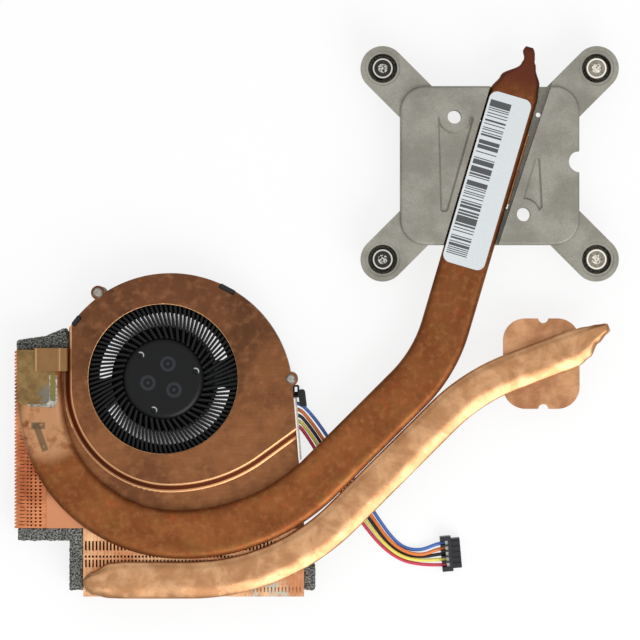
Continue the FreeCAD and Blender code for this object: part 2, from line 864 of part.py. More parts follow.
def cpu_heat_pipe():
    widths = (cpu_pipe_end_w, cpu_pipe_w, cpu_pipe_w, cpu_pipe_w)
    left, right = pipe_sides(cpu_route, widths, cpu_bends)
    left[0] = with_radius(left[0], cpu_near_round)
    right[0] = with_radius(right[0], cpu_near_round)
    left[-1] = with_radius(left[-1], cpu_far_round)
    right[-1] = with_radius(right[-1], cpu_far_round)
    return flat_pipe(left, right, [], beyond(cpu_route[-1], cpu_route[-2], cpu_tip))


def gpu_heat_pipe():
    widths = (gpu_pipe_w,) * 3
    left, right = pipe_sides(gpu_route, widths, gpu_bends)
    left[0] = with_radius(left[0], gpu_near_rounds[0])
    right[0] = with_radius(right[0], gpu_near_rounds[1])
    left[-1] = with_radius(left[-1], gpu_far_rounds[0])
    right[-1] = with_radius(right[-1], gpu_far_rounds[1])
    near_tip = beyond(gpu_route[0], gpu_route[1], gpu_near_tip)
    far_tip = beyond(gpu_route[-1], gpu_route[-2], gpu_far_tip)
    return flat_pipe(left, right, near_tip, far_tip)


# Processor bracket
def screw_places():
    """Centres of the four screws, the far left one first, then clockwise."""
    dx = screw_span_x / 2
    dy = screw_span_y / 2
    return [(bracket_x + sx * dx, bracket_y + sy * dy) for sx, sy in ((-1, 1), (1, 1), (1, -1), (-1, -1))]


def pipe_heading():
    start, end = V(*cpu_route[-2], 0), V(*cpu_route[-1], 0)
    return (end - start).normalize()


def beside_pipe(y, shift):
    """The point at height y on a line beside the upper pipe's axis."""
    heading = pipe_heading()
    across = V(heading.y, -heading.x, 0)
    return meet(V(*cpu_route[-1], 0) + across * shift, heading, V(0, y, 0), V(1, 0, 0))


def bracket_plate():
    x0 = bracket_x - plate_w / 2
    x1 = bracket_x + plate_w / 2
    y0 = bracket_y + plate_shift_y - plate_l / 2
    y1 = y0 + plate_l
    corners = [(x, y, plate_corner) for x, y in ((x0, y0), (x1, y0), (x1, y1), (x0, y1))]
    plate = slab(rounded(corners), bracket_under, bracket_thick)
    return plate.makeFillet(plate_edge_round, level_edges(plate, pipe_top))


def bracket_arm(place):
    """One arm, running from under the plate out to its screw cup."""
    x, y = place
    arm = disc(arm_w / 2, arm_under, arm_thick)
    arm = arm.fuse(block(0, -arm_w / 2, arm_under, arm_reach, arm_w / 2, arm_top))
    toward = math.degrees(math.atan2(math.copysign(1, bracket_y - y), math.copysign(1, bracket_x - x)))
    cup = disc(cup_r, cup_under, arm_under - cup_under)
    return arm.fuse(cup).rotated(ORIGIN, UP, toward).translated(V(x, y, 0)).removeSplitter()


def channel_outline():
    """The trough for the pipe: snug on its left, flared open on its right."""
    y0 = bracket_y - plate_l
    y1 = bracket_y + plate_l
    half = cpu_pipe_w / 2
    flare = (channel_top_gap - channel_low_gap) / plate_l
    low_gap = channel_low_gap - flare * plate_l / 2
    top_gap = channel_top_gap + flare * plate_l / 2
    return closed(
        beside_pipe(y0, -half - channel_gap), beside_pipe(y0, half + low_gap),
        beside_pipe(y1, half + top_gap), beside_pipe(y1, -half - channel_gap))


def along_pipe(shape, y):
    """Turns a shape made along +X to lie along the upper pipe, centred at y."""
    turn = math.degrees(math.atan2(pipe_heading().y, pipe_heading().x))
    return shape.rotated(ORIGIN, UP, turn).translated(beside_pipe(y, 0))


def centred_block(length, width, bottom, top):
    return block(-length / 2, -width / 2, bottom, length / 2, width / 2, top)


def rib_pocket(corners, hole):
    """A pressed triangle with sloped walls that stops at a ring round its hole."""
    crest = rounded([(bracket_x + x, bracket_y + y, rib_round) for x, y in corners])
    foot = crest.makeOffset2D(-rib_slope)
    pocket = Part.makeLoft([crest.translated(UP * pipe_top), foot.translated(UP * (pipe_top - rib_deep))], True, True)
    ring = Part.makeCone(rib_ring + rib_slope, rib_ring, rib_deep, V(*hole, pipe_top - rib_deep))
    return pocket.cut(ring)


def cpu_bracket():
    bracket = bracket_plate().multiFuse([bracket_arm(place) for place in screw_places()])
    bracket = bracket.cut(slab(channel_outline(), shelf_top, 5))
    window = centred_block(cpu_block_l + 2 * window_clear, cpu_block_w + 2 * window_clear,
                           bracket_under - 1, shelf_top + 1)
    bracket = bracket.cut(along_pipe(window, bracket_y))
    for x, y in screw_places():
        ring = disc(cup_ring_r, arm_top - cup_ring_deep, 1, x, y)
        bore = disc(cup_bore_r, cup_floor_z, 2 * pipe_top, x, y)
        hole = disc(shank_r + shank_clear, 0, pipe_top, x, y)
        bracket = bracket.cut(ring).cut(bore).cut(hole)
    for x, y in (tool_hole_1, tool_hole_2):
        bracket = bracket.cut(disc(tool_hole_r, 0, 2 * pipe_top, x, y))
    bracket = bracket.cut(disc(peep_r, 0, 2 * pipe_top, *peep_hole))
    notch_x = bracket_x + plate_w / 2
    bracket = bracket.cut(disc(side_notch_r, 0, 2 * pipe_top, notch_x, side_notch_y))
    left_rib = rib_pocket(left_rib_corners, tool_hole_1)
    right_rib = rib_pocket(right_rib_corners, tool_hole_2)
    return bracket.cut(left_rib).cut(right_rib).removeSplitter()


def cpu_contact_plate():
    x0 = bracket_x - cpu_contact_size / 2
    y0 = bracket_y - cpu_contact_size / 2
    pad = block(x0, y0, bracket_under - cpu_contact_thick,
                x0 + cpu_contact_size, y0 + cpu_contact_size, bracket_under)
    riser = centred_block(cpu_block_l, cpu_block_w, bracket_under, shelf_top)
    return pad.fuse(along_pipe(riser, bracket_y)).removeSplitter()


def gpu_contact_plate():
    x0, x1, y0, y1 = gpu_contact_x0, gpu_contact_x1, gpu_contact_y0, gpu_contact_y1
    corners = [(x, y, gpu_contact_corner) for x, y in ((x0, y0), (x1, y0), (x1, y1), (x0, y1))]
    plate = slab(rounded(corners), shelf_top - gpu_contact_thick, gpu_contact_thick)
    for y in (y0 - gpu_notch_out, y1 + gpu_notch_out):
        plate = plate.cut(disc(gpu_notch_r, 0, pipe_top, (x0 + x1) / 2 + gpu_notch_shift, y))
    return plate


# Captive screws
def captive_screw(place):
    x, y = place
    groove_top = cup_under
    groove_low = groove_top - ring_thick - groove_clear
    screw = turned((
        (0, head_top), (head_r - head_chamfer, head_top), (head_r, head_top - head_chamfer),
        (head_r, head_under), (shank_r, head_under), (shank_r, groove_top), (groove_r, groove_top),
        (groove_r, groove_low), (shank_r, groove_low), (shank_r, thread_top), (thread_r, thread_top),
        (thread_r, screw_tip_z + thread_chamfer), (thread_r - thread_chamfer, screw_tip_z),
        (0, screw_tip_z)), x, y)
    return cross_cut(screw, V(x, y, 0), head_top, cross_long, cross_wide, cross_deep)


def spring_height(turns):
    """How far the coil has risen: its first and last turns lie almost closed."""
    rise = head_under - cup_floor_z - 2 * spring_wire_r
    open_turns = spring_turns - 2
    open_pitch = (rise - 2 * spring_end_pitch) / open_turns
    opened = min(max(turns - 1, 0), open_turns)
    return opened * open_pitch + (turns - opened) * spring_end_pitch


def screw_spring(place):
    x, y = place
    corner_r = spring_wire_r / math.cos(math.pi / spring_wire_sides)
    sections = []
    for i in range(spring_turns * spring_steps + 1):
        turns = i / spring_steps
        height = cup_floor_z + spring_wire_r + spring_height(turns)
        corners = []
        for k in range(spring_wire_sides + 1):
            round_wire = 2 * math.pi * k / spring_wire_sides
            point = polar(spring_r + corner_r * math.cos(round_wire), turns * WHOLE_TURN, x, y)
            corners.append(point + UP * (height + corner_r * math.sin(round_wire)))
        sections.append(Part.Wire(Part.makePolygon(corners)))
    return Part.makeLoft(sections, True, True)


def retaining_ring(place):
    """An open clip in the screw's groove, against the underside of the cup."""
    x, y = place
    half_gap = ring_gap_angle / 2
    clip = sector(groove_r + groove_clear, ring_r, half_gap, WHOLE_TURN - half_gap,
                  cup_under - ring_thick, ring_thick)
    return clip.translated(V(x, y, 0))


# The end of the processor pipe
def pipe_end_plate():
    """A leaf over the pipe's end, with a narrow strip of it left standing beside."""
    x0, x1, y0 = end_plate_x0, end_plate_x1, end_plate_low_y
    y1 = duct_top_y - end_plate_short
    outline = rounded((
        (x0, y0, end_plate_corner), (x1, y0, end_plate_corner), (x1, end_strip_high_y, 0),
        (end_strip_x0, end_strip_high_y, 0), (end_strip_x0, end_strip_low_y, 0),
        (end_strip_x1, end_strip_low_y, 0), (end_strip_x1, y1, 0), (x0, y1, 0)))
    return slab(outline, pipe_top, end_plate_thick)


def pipe_end_clip():
    bottom = pipe_top + end_plate_thick
    top = bottom + clip_sheet
    leaf = block(clip_x0, clip_y0, bottom, clip_x1, clip_y1, top)
    lip = block(clip_x1 - clip_sheet, clip_y0, bottom - clip_lip, clip_x1, clip_y1, top)
    clip = leaf.fuse(lip).removeSplitter()
    corner = Part.Wire(Part.makePolygon([V(clip_x1, clip_y0, top), V(clip_x1, clip_y1, top)]))
    return clip.makeFillet(clip_sheet * 0.9, edges_on(clip, corner))


def plate_solder():
    """The bead of solder round the cap plate's lower and inner edges."""
    x0 = end_plate_x0 + solder_start
    x1 = end_strip_x1
    y0 = end_plate_low_y
    bead = slab(rounded((
        (x0, y0 + 1, 0), (x0 + 1, y0 - solder_wide * solder_taper, 0.2), (x1, y0 - solder_wide, 0.8),
        (x1 + solder_side, y0 + 1, 0.5), (x1 + solder_side, end_strip_high_y, 0.3),
        (end_plate_x1, end_strip_high_y, 0))), pipe_top, solder_high)
    return bead.cut(pipe_end_plate())


# Foam strips
def foam(points):
    return slab(closed(*[V(x, y, 0) for x, y in points]), foam_low, foam_high - foam_low)


def foam_side_top():
    low = side_stack_low_y + side_fin_count * fin_pitch + stack_joint
    x1 = tongue_x - foam_gap
    step_y = duct_top_y + foam_gap
    return foam(((foam_top_left_x, low),) + foam_top_crest + (
        (x1, foam_top_right_y), (x1, step_y), (side_outlet_x, step_y), (side_outlet_x, low)))


def foam_side_bottom():
    high = side_stack_low_y - stack_joint
    x0 = foam_bottom_left_x
    x1 = rear_left_x - foam_gap
    return foam(((x0, high - foam_thick), (x1, high - foam_thick), (x1, high), (x0, high)))


def foam_rear_left():
    high = side_stack_low_y - 2 * stack_joint - foam_thick
    x1 = rear_left_x - foam_gap
    x0 = x1 - foam_left_wide
    return foam(((x0, foam_rear_low_y), (x1, foam_rear_low_y), (x1, high), (x0, high)))


def foam_rear_right():
    x0 = rear_left_x + rear_fin_count * fin_pitch + foam_gap
    x1 = x0 + foam_right_wide
    high = foam_right_high_y
    return foam(((x0, foam_rear_low_y), (x1, foam_rear_low_y), (x1, high), (x0, high)))


def pipe_label():
    half_l = label_l / 2
    half_w = label_w / 2
    corners = [(x, y, label_corner) for x, y in (
        (-half_l, -half_w), (half_l, -half_w), (half_l, half_w), (-half_l, half_w))]
    turn = math.degrees(math.atan2(pipe_heading().y, pipe_heading().x))
    sticker = slab(rounded(corners), pipe_top, label_thick)
    return sticker.rotated(ORIGIN, UP, turn).translated(V(label_x, label_y, 0))


# Wires and plug
def wire_path(route):
    """Straight runs with a tangent arc at each point, and the arcs' radii."""
    points = [V(*p) for p in route]
    edges = []
    radii = []
    here = points[0]
    for before, corner, after in zip(points, points[1:], points[2:]):
        shorter = min((corner - before).Length, (after - corner).Length)
        turn = (corner - before).getAngle(after - corner)
        radius = 0.45 * shorter / math.tan(turn / 2)
        (start, (middle, end)) = corner_arc(before, corner, after, radius)
        edges.append(Part.LineSegment(here, start).toShape())
        edges.append(Part.Arc(start, middle, end).toShape())
        radii.append(radius)
        here = end
    edges.append(Part.LineSegment(here, points[-1]).toShape())
    return Part.Wire(edges), radii


def wire(name, route):
    path, radii = wire_path(route)
    first, second = V(*route[0]), V(*route[1])
    section = Part.Wire(Part.makeCircle(wire_d / 2, first, second - first))
    tube = path.makePipeShell([section], True, False)
    expected = math.pi * wire_d ** 2 / 4 * path.Length
    print(name, "length", round(path.Length, 1), "least radius", round(min(radii), 2),
          "volume ratio", round(tube.Volume / expected, 4))
    return tube


def on_plug(shape):
    return shape.rotated(ORIGIN, UP, plug_turn).translated(V(plug_x, plug_y, 0))


def plug_slot(i, length, bottom):
    """The open slot of wire i in the plug's back, one is at the far side."""
    y = (2 - i) * wire_pitch
    return block(-plug_back, y - slot_wide / 2, bottom, -plug_back + length, y + slot_wide / 2, plug_high + 1)


def plug_housing():
    back = block(-plug_back, -plug_w / 2, 0, 0, plug_w / 2, plug_high)
    nose_top = plug_high - plug_nose_drop
    nose = block(0, -plug_nose_w / 2, 0, plug_nose, plug_nose_w / 2, nose_top)
    body = back.fuse(nose)
    for i in range(plug_ribs):
        y = (2 - i) * wire_pitch
        rib = block(0, y - 0.2, nose_top, plug_nose, y + 0.2, plug_high)
        body = body.fuse(rib).cut(plug_slot(i, slot_long, slot_floor))
    return on_plug(body.removeSplitter())


def plug_terminals():
    """Metal crimps seen at the ends of the plug's slots."""
    crimps = []
    for i in range(plug_ribs):
        y = (2 - i) * wire_pitch
        x1 = -plug_back + slot_long
        crimps.append(on_plug(block(
            x1 - terminal_long, y - slot_wide / 2, slot_floor, x1, y + slot_wide / 2,
            slot_floor + wire_d)))
    return Part.makeCompound(crimps)


os.makedirs("parts", exist_ok=True)
save("fan_cover", fan_cover())
save("fan_base", fan_base())
save("cover_screws", cover_screws())
save("wire_shield_strip", wire_shield_strip())
save("impeller", impeller())
save("rotor_yoke", rotor_yoke())
save("rotor_magnet", rotor_magnet())
save("rotor_shaft", rotor_shaft())
save("bearing_sleeve", bearing_sleeve())
save("thrust_washer", thrust_washer())
save("stator_core", stator_core())
save("stator_coils", stator_coils())
save("motor_circuit_board", motor_circuit_board())
save("side_fin_stack", side_fin_stack())
save("rear_fin_stack", rear_fin_stack())
save("cpu_heat_pipe", cpu_heat_pipe())
save("gpu_heat_pipe", gpu_heat_pipe())
save("cpu_bracket", cpu_bracket())
save("cpu_contact_plate", cpu_contact_plate())
save("gpu_contact_plate", gpu_contact_plate())
for number, place in enumerate(screw_places(), 1):
    save("captive_screw_" + str(number), captive_screw(place))
    save("screw_spring_" + str(number), screw_spring(place))
    save("retaining_ring_" + str(number), retaining_ring(place))
save("pipe_end_plate", pipe_end_plate())
save("pipe_end_clip", pipe_end_clip())
save("plate_solder", plate_solder())
save("foam_side_top", foam_side_top())
save("foam_side_bottom", foam_side_bottom())
save("foam_rear_left", foam_rear_left())
save("foam_rear_right", foam_rear_right())
save("pipe_label", pipe_label())
save("wire_blue", wire("blue", blue_route))
save("wire_orange", wire("orange", orange_route))
save("wire_black", wire("black", black_route))
save("wire_yellow", wire("yellow", yellow_route))
save("wire_red", wire("red", red_route))
save("plug_housing", plug_housing())
save("plug_terminals", plug_terminals())
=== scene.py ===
import bmesh
import bpy
import math
from mathutils import Matrix, Vector, noise


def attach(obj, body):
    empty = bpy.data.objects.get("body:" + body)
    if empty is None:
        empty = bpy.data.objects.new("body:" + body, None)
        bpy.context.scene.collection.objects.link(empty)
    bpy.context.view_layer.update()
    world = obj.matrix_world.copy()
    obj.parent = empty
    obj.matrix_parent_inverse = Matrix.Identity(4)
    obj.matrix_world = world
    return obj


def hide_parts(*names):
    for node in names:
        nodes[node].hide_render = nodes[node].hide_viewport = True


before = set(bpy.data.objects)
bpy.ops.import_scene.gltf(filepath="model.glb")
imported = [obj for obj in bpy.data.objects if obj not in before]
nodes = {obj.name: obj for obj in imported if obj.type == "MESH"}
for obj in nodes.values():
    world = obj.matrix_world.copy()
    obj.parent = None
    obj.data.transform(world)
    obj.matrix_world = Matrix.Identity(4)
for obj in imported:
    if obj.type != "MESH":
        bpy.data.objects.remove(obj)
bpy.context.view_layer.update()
MM = 0.001


# Stage: a pale floor under the part, one soft lamp and the camera straight above
# it, far enough away for the mild perspective of the photograph.
def srgb(red, green, blue):
    """A screen colour, 0 to 255, as the linear colour that a shader takes."""
    return tuple(((c / 255 + 0.055) / 1.055) ** 2.4 for c in (red, green, blue)) + (1.0,)


CAMERA_X = 0.0354
CAMERA_Y = 0.0133
CAMERA_Z = 0.608
CAMERA_LENS = 149.4
FLOOR_Z = -0.0002
FLOOR_HALF = 1.5
FLOOR_GLOW = 0.8
WORLD_HIGH = 1.0
WORLD_LOW = 0.12

camera = bpy.data.objects.new("camera", bpy.data.cameras.new("camera"))
bpy.context.scene.collection.objects.link(camera)
camera.location = (CAMERA_X, CAMERA_Y, CAMERA_Z)
camera.data.lens = CAMERA_LENS
camera.data.sensor_width = 36
camera.data.clip_start = 0.01
bpy.context.scene.camera = camera
bpy.context.scene.view_settings.view_transform = "Standard"


def soft_lamp(name, place, size, watts):
    data = bpy.data.lights.new(name, "AREA")
    data.shape = "SQUARE"
    data.size = size
    data.energy = watts
    lamp = bpy.data.objects.new(name, data)
    bpy.context.scene.collection.objects.link(lamp)
    lamp.location = place
    target = Vector((CAMERA_X, CAMERA_Y, 0))
    lamp.rotation_mode = "QUATERNION"
    lamp.rotation_quaternion = (target - Vector(place)).to_track_quat("-Z", "Y")


soft_lamp("lamp_low_right", (0.36, -0.50, 0.50), 0.55, 3.6)

world = bpy.data.worlds.new("studio")
world.use_nodes = True
bpy.context.scene.world = world


class Term:
    """A value in a node tree, so that shader maths is written as expressions."""

    def __init__(self, tree, socket=None):
        self.tree = tree
        self.socket = socket

    def node(self, kind, settings, inputs, out=0):
        """Any node: its type, its settings, what its sockets take, and the output wanted."""
        made = self.tree.nodes.new(kind)
        for key, value in settings.items():
            setattr(made, key, value)
        for key, value in inputs.items():
            if isinstance(value, Term):
                self.tree.links.new(value.socket, made.inputs[key])
            else:
                made.inputs[key].default_value = value
        return Term(self.tree, made.outputs[out])

    def math(self, operation, first, second=0.0):
        return self.node("ShaderNodeMath", {"operation": operation}, {0: first, 1: second})

    def __add__(self, other):
        return self.math("ADD", self, other)

    def __radd__(self, other):
        return self.math("ADD", other, self)

    def __sub__(self, other):
        return self.math("SUBTRACT", self, other)

    def __rsub__(self, other):
        return self.math("SUBTRACT", other, self)

    def __mul__(self, other):
        return self.math("MULTIPLY", self, other)

    def __rmul__(self, other):
        return self.math("MULTIPLY", other, self)

    def between(self, low, high):
        """A mask that rises smoothly from 0 at low to 1 at high."""
        return self.node(
            "ShaderNodeMapRange", {"interpolation_type": "SMOOTHSTEP"}, {0: self, 1: low, 2: high})

    def mix(self, low, high):
        """Goes from one colour to another as this mask goes from 0 to 1."""
        return self.node("ShaderNodeMix", {"data_type": "RGBA"}, {0: self, 6: low, 7: high}, 2)

    def stretch(self, x, y, z):
        return self.node("ShaderNodeVectorMath", {"operation": "MULTIPLY"}, {0: self, 1: (x, y, z)})

    def turned(self, degrees):
        back = (0, 0, math.radians(-degrees))
        return self.node("ShaderNodeMapping", {}, {"Vector": self, "Rotation": back})

    def noise(self, scale, detail=3.0, roughness=0.55, distortion=0.0):
        return self.node("ShaderNodeTexNoise", {}, {
            "Vector": self, "Scale": scale, "Detail": detail, "Roughness": roughness,
            "Distortion": distortion})

    def cells(self, scale):
        return self.node("ShaderNodeTexVoronoi", {}, {"Vector": self, "Scale": scale})

    def along(self, degrees, x=0.0, y=0.0):
        """Distance in mm from a point, measured in one direction in the plane."""
        way = (math.cos(math.radians(degrees)), math.sin(math.radians(degrees)), 0)
        start = x * way[0] + y * way[1]
        reach = self.node("ShaderNodeVectorMath", {"operation": "DOT_PRODUCT"}, {0: self, 1: way}, 1)
        return reach - start

    def height(self):
        return self.node("ShaderNodeSeparateXYZ", {}, {0: self}, 2)

    def away(self, x, y):
        """Distance in mm from a vertical line."""
        flat = self.node("ShaderNodeVectorMath", {"operation": "SUBTRACT"}, {0: self, 1: (x, y, 0)})
        flat = flat.stretch(1, 1, 0)
        return self.node("ShaderNodeVectorMath", {"operation": "LENGTH"}, {0: flat}, 1)

    def bump(self, depth_mm, strength=1.0):
        return self.node(
            "ShaderNodeBump", {}, {"Height": self, "Distance": depth_mm * MM, "Strength": strength})


def material(name, recipe):
    """A material from a recipe, which takes the object's coordinates in mm."""
    made = bpy.data.materials.new(name)
    made.use_nodes = True
    tree = made.node_tree
    shader = tree.nodes["Principled BSDF"]
    metres = Term(tree).node("ShaderNodeTexCoord", {}, {}, "Object")
    for key, value in recipe(metres.stretch(1000, 1000, 1000)).items():
        if isinstance(value, Term):
            tree.links.new(value.socket, shader.inputs[key])
        else:
            shader.inputs[key].default_value = value
    return made


def paint(made, *names):
    """Gives CAD nodes a material."""
    for name in names:
        for holder in nodes[name].material_slots:
            holder.material = made


tree = world.node_tree
sky = tree.nodes["Background"]
sky.inputs["Color"].default_value = (1, 1, 1, 1)
upward = Term(tree).node("ShaderNodeTexCoord", {}, {}, "Generated").height()
level = upward.between(-0.2, 1.0) * (WORLD_HIGH - WORLD_LOW) + WORLD_LOW
seen = Term(tree).node("ShaderNodeLightPath", {}, {}, "Is Camera Ray")
tree.links.new((level + seen * (1.0 - level)).socket, sky.inputs["Strength"])

floor_mesh = bpy.data.meshes.new("floor")
floor_mesh.from_pydata(
    [(x * FLOOR_HALF, y * FLOOR_HALF, FLOOR_Z) for x, y in ((-1, -1), (1, -1), (1, 1), (-1, 1))],
    [], [(0, 1, 2, 3)])
floor = bpy.data.objects.new("floor", floor_mesh)
bpy.context.scene.collection.objects.link(floor)
floor_look = bpy.data.materials.new("floor_paper")
floor_look.use_nodes = True
tree = floor_look.node_tree
tree.nodes["Principled BSDF"].inputs["Base Color"].default_value = (0.9, 0.9, 0.9, 1)
tree.nodes["Principled BSDF"].inputs["Roughness"].default_value = 0.9
path = Term(tree).node("ShaderNodeLightPath", {}, {}, "Is Camera Ray")
glossy = Term(tree, path.socket.node.outputs["Is Glossy Ray"])
through = Term(tree, path.socket.node.outputs["Is Transmission Ray"])
glow = Term(tree).node("ShaderNodeEmission", {}, {"Color": (1, 1, 1, 1), "Strength": 1.0})
shown = Term(tree, tree.nodes["Principled BSDF"].outputs[0])
glowing = (path + glossy + through) * FLOOR_GLOW
both = Term(tree).node("ShaderNodeMixShader", {}, {0: glowing, 1: shown, 2: glow})
tree.links.new(both.socket, tree.nodes["Material Output"].inputs["Surface"])
floor.data.materials.append(floor_look)


# Fan cover: thin copper sheet pressed into a raised deck and a shelf, oxidised to an uneven
# brown. The shelf's lower left corner has kept a pinker, cleaner colour. Painted light makes
# the cover lighter towards the bottom; the step gets painted highlights and painted shade.
DECK_Z = 9.2
SHELF_Z = 7.4


def cover_look(where):
    patches = where.noise(0.075, 5, 0.65)
    spots = where.noise(0.45, 4, 0.6)
    rolled = where.stretch(0.25, 3.2, 1).noise(1.0, 2)
    # down is painted light: the cover is made lighter and pinker towards the bottom, the side the light comes
    # from.
    down = where.along(90).between(22, -12)
    colour = patches.between(0.38, 0.62).mix(srgb(84, 53, 33), srgb(110, 69, 44))
    colour = (down * 0.8).mix(colour, patches.between(0.38, 0.62).mix(srgb(116, 72, 44), srgb(149, 97, 60)))
    colour = (spots.between(0.45, 0.75) * 0.45).mix(colour, srgb(166, 113, 76))
    colour = (rolled.between(0.3, 0.8) * 0.22).mix(colour, srgb(92, 58, 38))
    stain = where.noise(1.1, 3, 0.6).between(0.64, 0.70) * where.away(-16, -4).between(9, 4)
    colour = (stain * 0.6).mix(colour, srgb(70, 44, 30))
    clean = where.along(0, -24).between(9, 5) * where.along(90, 0, -32).between(8, 4)
    colour = (clean * 0.75).mix(colour, srgb(226, 156, 114))
    level = where.height()
    # Painted highlights along the crest and the foot of the step from deck to shelf, and painted shade (wall)
    # on the slope between them.
    crest_highlight = level.between(DECK_Z - 0.45, DECK_Z - 0.25) * level.between(DECK_Z - 0.005, DECK_Z - 0.07)
    foot_highlight = level.between(SHELF_Z + 0.01, SHELF_Z + 0.05) * level.between(SHELF_Z + 0.55, SHELF_Z + 0.35)
    wall = level.between(SHELF_Z + 0.35, SHELF_Z + 0.55) * level.between(DECK_Z - 0.25, DECK_Z - 0.45)
    colour = wall.mix(colour, srgb(124, 62, 34))
    colour = (crest_highlight + foot_highlight).mix(colour, srgb(252, 196, 142))
    rough = 0.36 + patches * 0.16 + rolled * 0.08
    return {
        "Base Color": colour, "Metallic": 0.88, "Roughness": rough,
        "Normal": (rolled * 0.5 + spots * 0.5).bump(0.012, 0.6)}


paint(material("cover_copper", cover_look), "fan_cover")


# Fan base: black moulded plastic with a faint matt grain.
def moulded_look(colour, rough):
    def recipe(where):
        grain = where.noise(5.0, 2)
        tone = where.noise(0.3, 3).mix(srgb(*colour), srgb(*[c + 9 for c in colour]))
        return {
            "Base Color": tone, "Roughness": rough + grain * 0.12, "Specular IOR Level": 0.3,
            "Normal": grain.bump(0.01, 0.4)}
    return recipe


paint(material("base_plastic", moulded_look((22, 22, 24), 0.42)), "fan_base")


# Cover screws: small zinc-plated pan heads, a little dull.
def plated_look(colour, rough):
    def recipe(where):
        wear = where.noise(1.6, 4, 0.6)
        return {
            "Base Color": wear.between(0.35, 0.7).mix(srgb(*[c * 0.82 for c in colour]), srgb(*colour)),
            "Metallic": 0.95, "Roughness": rough + wear * 0.14,
            "Normal": where.noise(7.0, 2).bump(0.006, 0.4)}
    return recipe


paint(material("screw_zinc", plated_look((186, 180, 170), 0.26)), "cover_screws")


# Wire shield: a strip of cream film stuck on edge over the wire exit.
def film_look(where):
    cloud = where.noise(0.5, 3)
    return {
        "Base Color": cloud.mix(srgb(232, 226, 212), srgb(246, 242, 232)), "Roughness": 0.35 + cloud * 0.15}


paint(material("shield_film", film_look), "wire_shield_strip")


# Impeller: one black moulding, satin on the hub and shinier on the blades.
GATE_SPOTS = ((1.06, 3.39), (-3.46, -0.9), (2.42, -2.49))
BALANCE_HOLES = ((-5.15, 5.31), (7.28, 1.7), (-2.2, -7.1))


def impeller_look(where):
    on_hub = where.away(0, 0).between(9.6, 9.2)
    grain = where.noise(3.5, 3)
    colour = on_hub.mix(srgb(7, 8, 9), srgb(6, 7, 9))
    colour = (grain.between(0.4, 0.8) * 0.3).mix(colour, srgb(13, 14, 17))
    # Painted highlights: lighter rings and centres on the hub's gate marks.
    for x, y in GATE_SPOTS:
        spot = where.away(x, y)
        ring = spot.between(0.95, 1.2) * spot.between(1.85, 1.6) + spot.between(0.5, 0.3)
        colour = ring.mix(colour, srgb(44, 47, 53))
    # Painted highlights: a near-white glint on one half of each balance hole's edge.
    for x, y in BALANCE_HOLES:
        edge = where.away(x, y).between(0.45, 0.6) * where.away(x, y).between(0.9, 0.72)
        colour = (edge * where.along(45, x, y).between(0.0, 0.5)).mix(colour, srgb(190, 194, 198))
    return {
        "Base Color": colour, "Roughness": 0.24 + grain * 0.12 + on_hub * 0.06,
        "Specular IOR Level": 0.22, "Normal": grain.bump(0.012, 0.3)}


paint(material("impeller_plastic", impeller_look), "impeller")
paint(material("rotor_steel", plated_look((120, 122, 126), 0.34)), "rotor_yoke", "rotor_shaft", "stator_core")
paint(material("magnet_rubber", moulded_look((44, 42, 42), 0.6)), "rotor_magnet")
paint(material("sleeve_bronze", plated_look((168, 126, 78), 0.36)), "bearing_sleeve")
paint(material("washer_plastic", moulded_look((190, 186, 176), 0.4)), "thrust_washer")


def winding_look(where):
    turns = where.node("ShaderNodeTexWave", {"bands_direction": "Z"}, {"Vector": where, "Scale": 2.2})
    return {
        "Base Color": turns.mix(srgb(120, 62, 32), srgb(188, 112, 66)), "Metallic": 0.8,
        "Roughness": 0.3 + turns * 0.1, "Normal": turns.bump(0.05)}


paint(material("winding_wire", winding_look), "stator_coils")


def board_look(where):
    weave = where.cells(2.5)
    return {
        "Base Color": weave.between(0.1, 0.6).mix(srgb(30, 78, 52), srgb(44, 104, 70)),
        "Roughness": 0.38 + weave * 0.1}


paint(material("circuit_board", board_look), "motor_circuit_board")


# Fin stacks: thin copper fins, each folded over at top and bottom and locked to the
# next by small slots in its upper fold. One fin is made and repeated in a row.
FIN_PITCH = 0.806
FIN_SHEET = 0.2
FIN_SPACE = 0.03
FIN_BOTTOM = 0.4
FIN_TOP = 7.4
SIDE_FINS = 50
REAR_FINS = 62


def extruded(build, outline, bottom, top):
    """Adds a closed prism over an outline of (x, y)."""
    low = [build.verts.new((x, y, bottom)) for x, y in outline]
    high = [build.verts.new((x, y, top)) for x, y in outline]
    build.faces.new(low[::-1])
    build.faces.new(high)
    for i in range(len(outline)):
        k = (i + 1) % len(outline)
        build.faces.new((low[i], low[k], high[k], high[i]))


def fin_mesh(name, depth, slots, tooth, to_place):
    """One folded fin: its wall, its plain lower fold and its slotted upper fold."""
    reach = FIN_PITCH - FIN_SPACE
    build = bmesh.new()
    extruded(build, ((0, 0), (FIN_SHEET, 0), (FIN_SHEET, depth), (0, depth)),
             FIN_BOTTOM + FIN_SHEET, FIN_TOP - FIN_SHEET)
    extruded(build, ((0, 0), (reach, 0), (reach, depth), (0, depth)), FIN_BOTTOM, FIN_BOTTOM + FIN_SHEET)
    fold = [(0, 0), (reach, 0)]
    for start, end, cut in slots:
        fold += [(reach, start), (cut, start + 0.08), (cut, end - 0.08), (reach, end)]
    fold += [(reach, depth - tooth), (reach * 0.45, depth), (0, depth - tooth * 0.5)]
    extruded(build, fold, FIN_TOP - FIN_SHEET, FIN_TOP)
    bmesh.ops.recalc_face_normals(build, faces=build.faces)
    build.transform(to_place)
    build.transform(Matrix.Scale(MM, 4))
    bmesh.ops.recalc_face_normals(build, faces=build.faces)
    mesh = bpy.data.meshes.new(name)
    build.to_mesh(mesh)
    build.free()
    return mesh


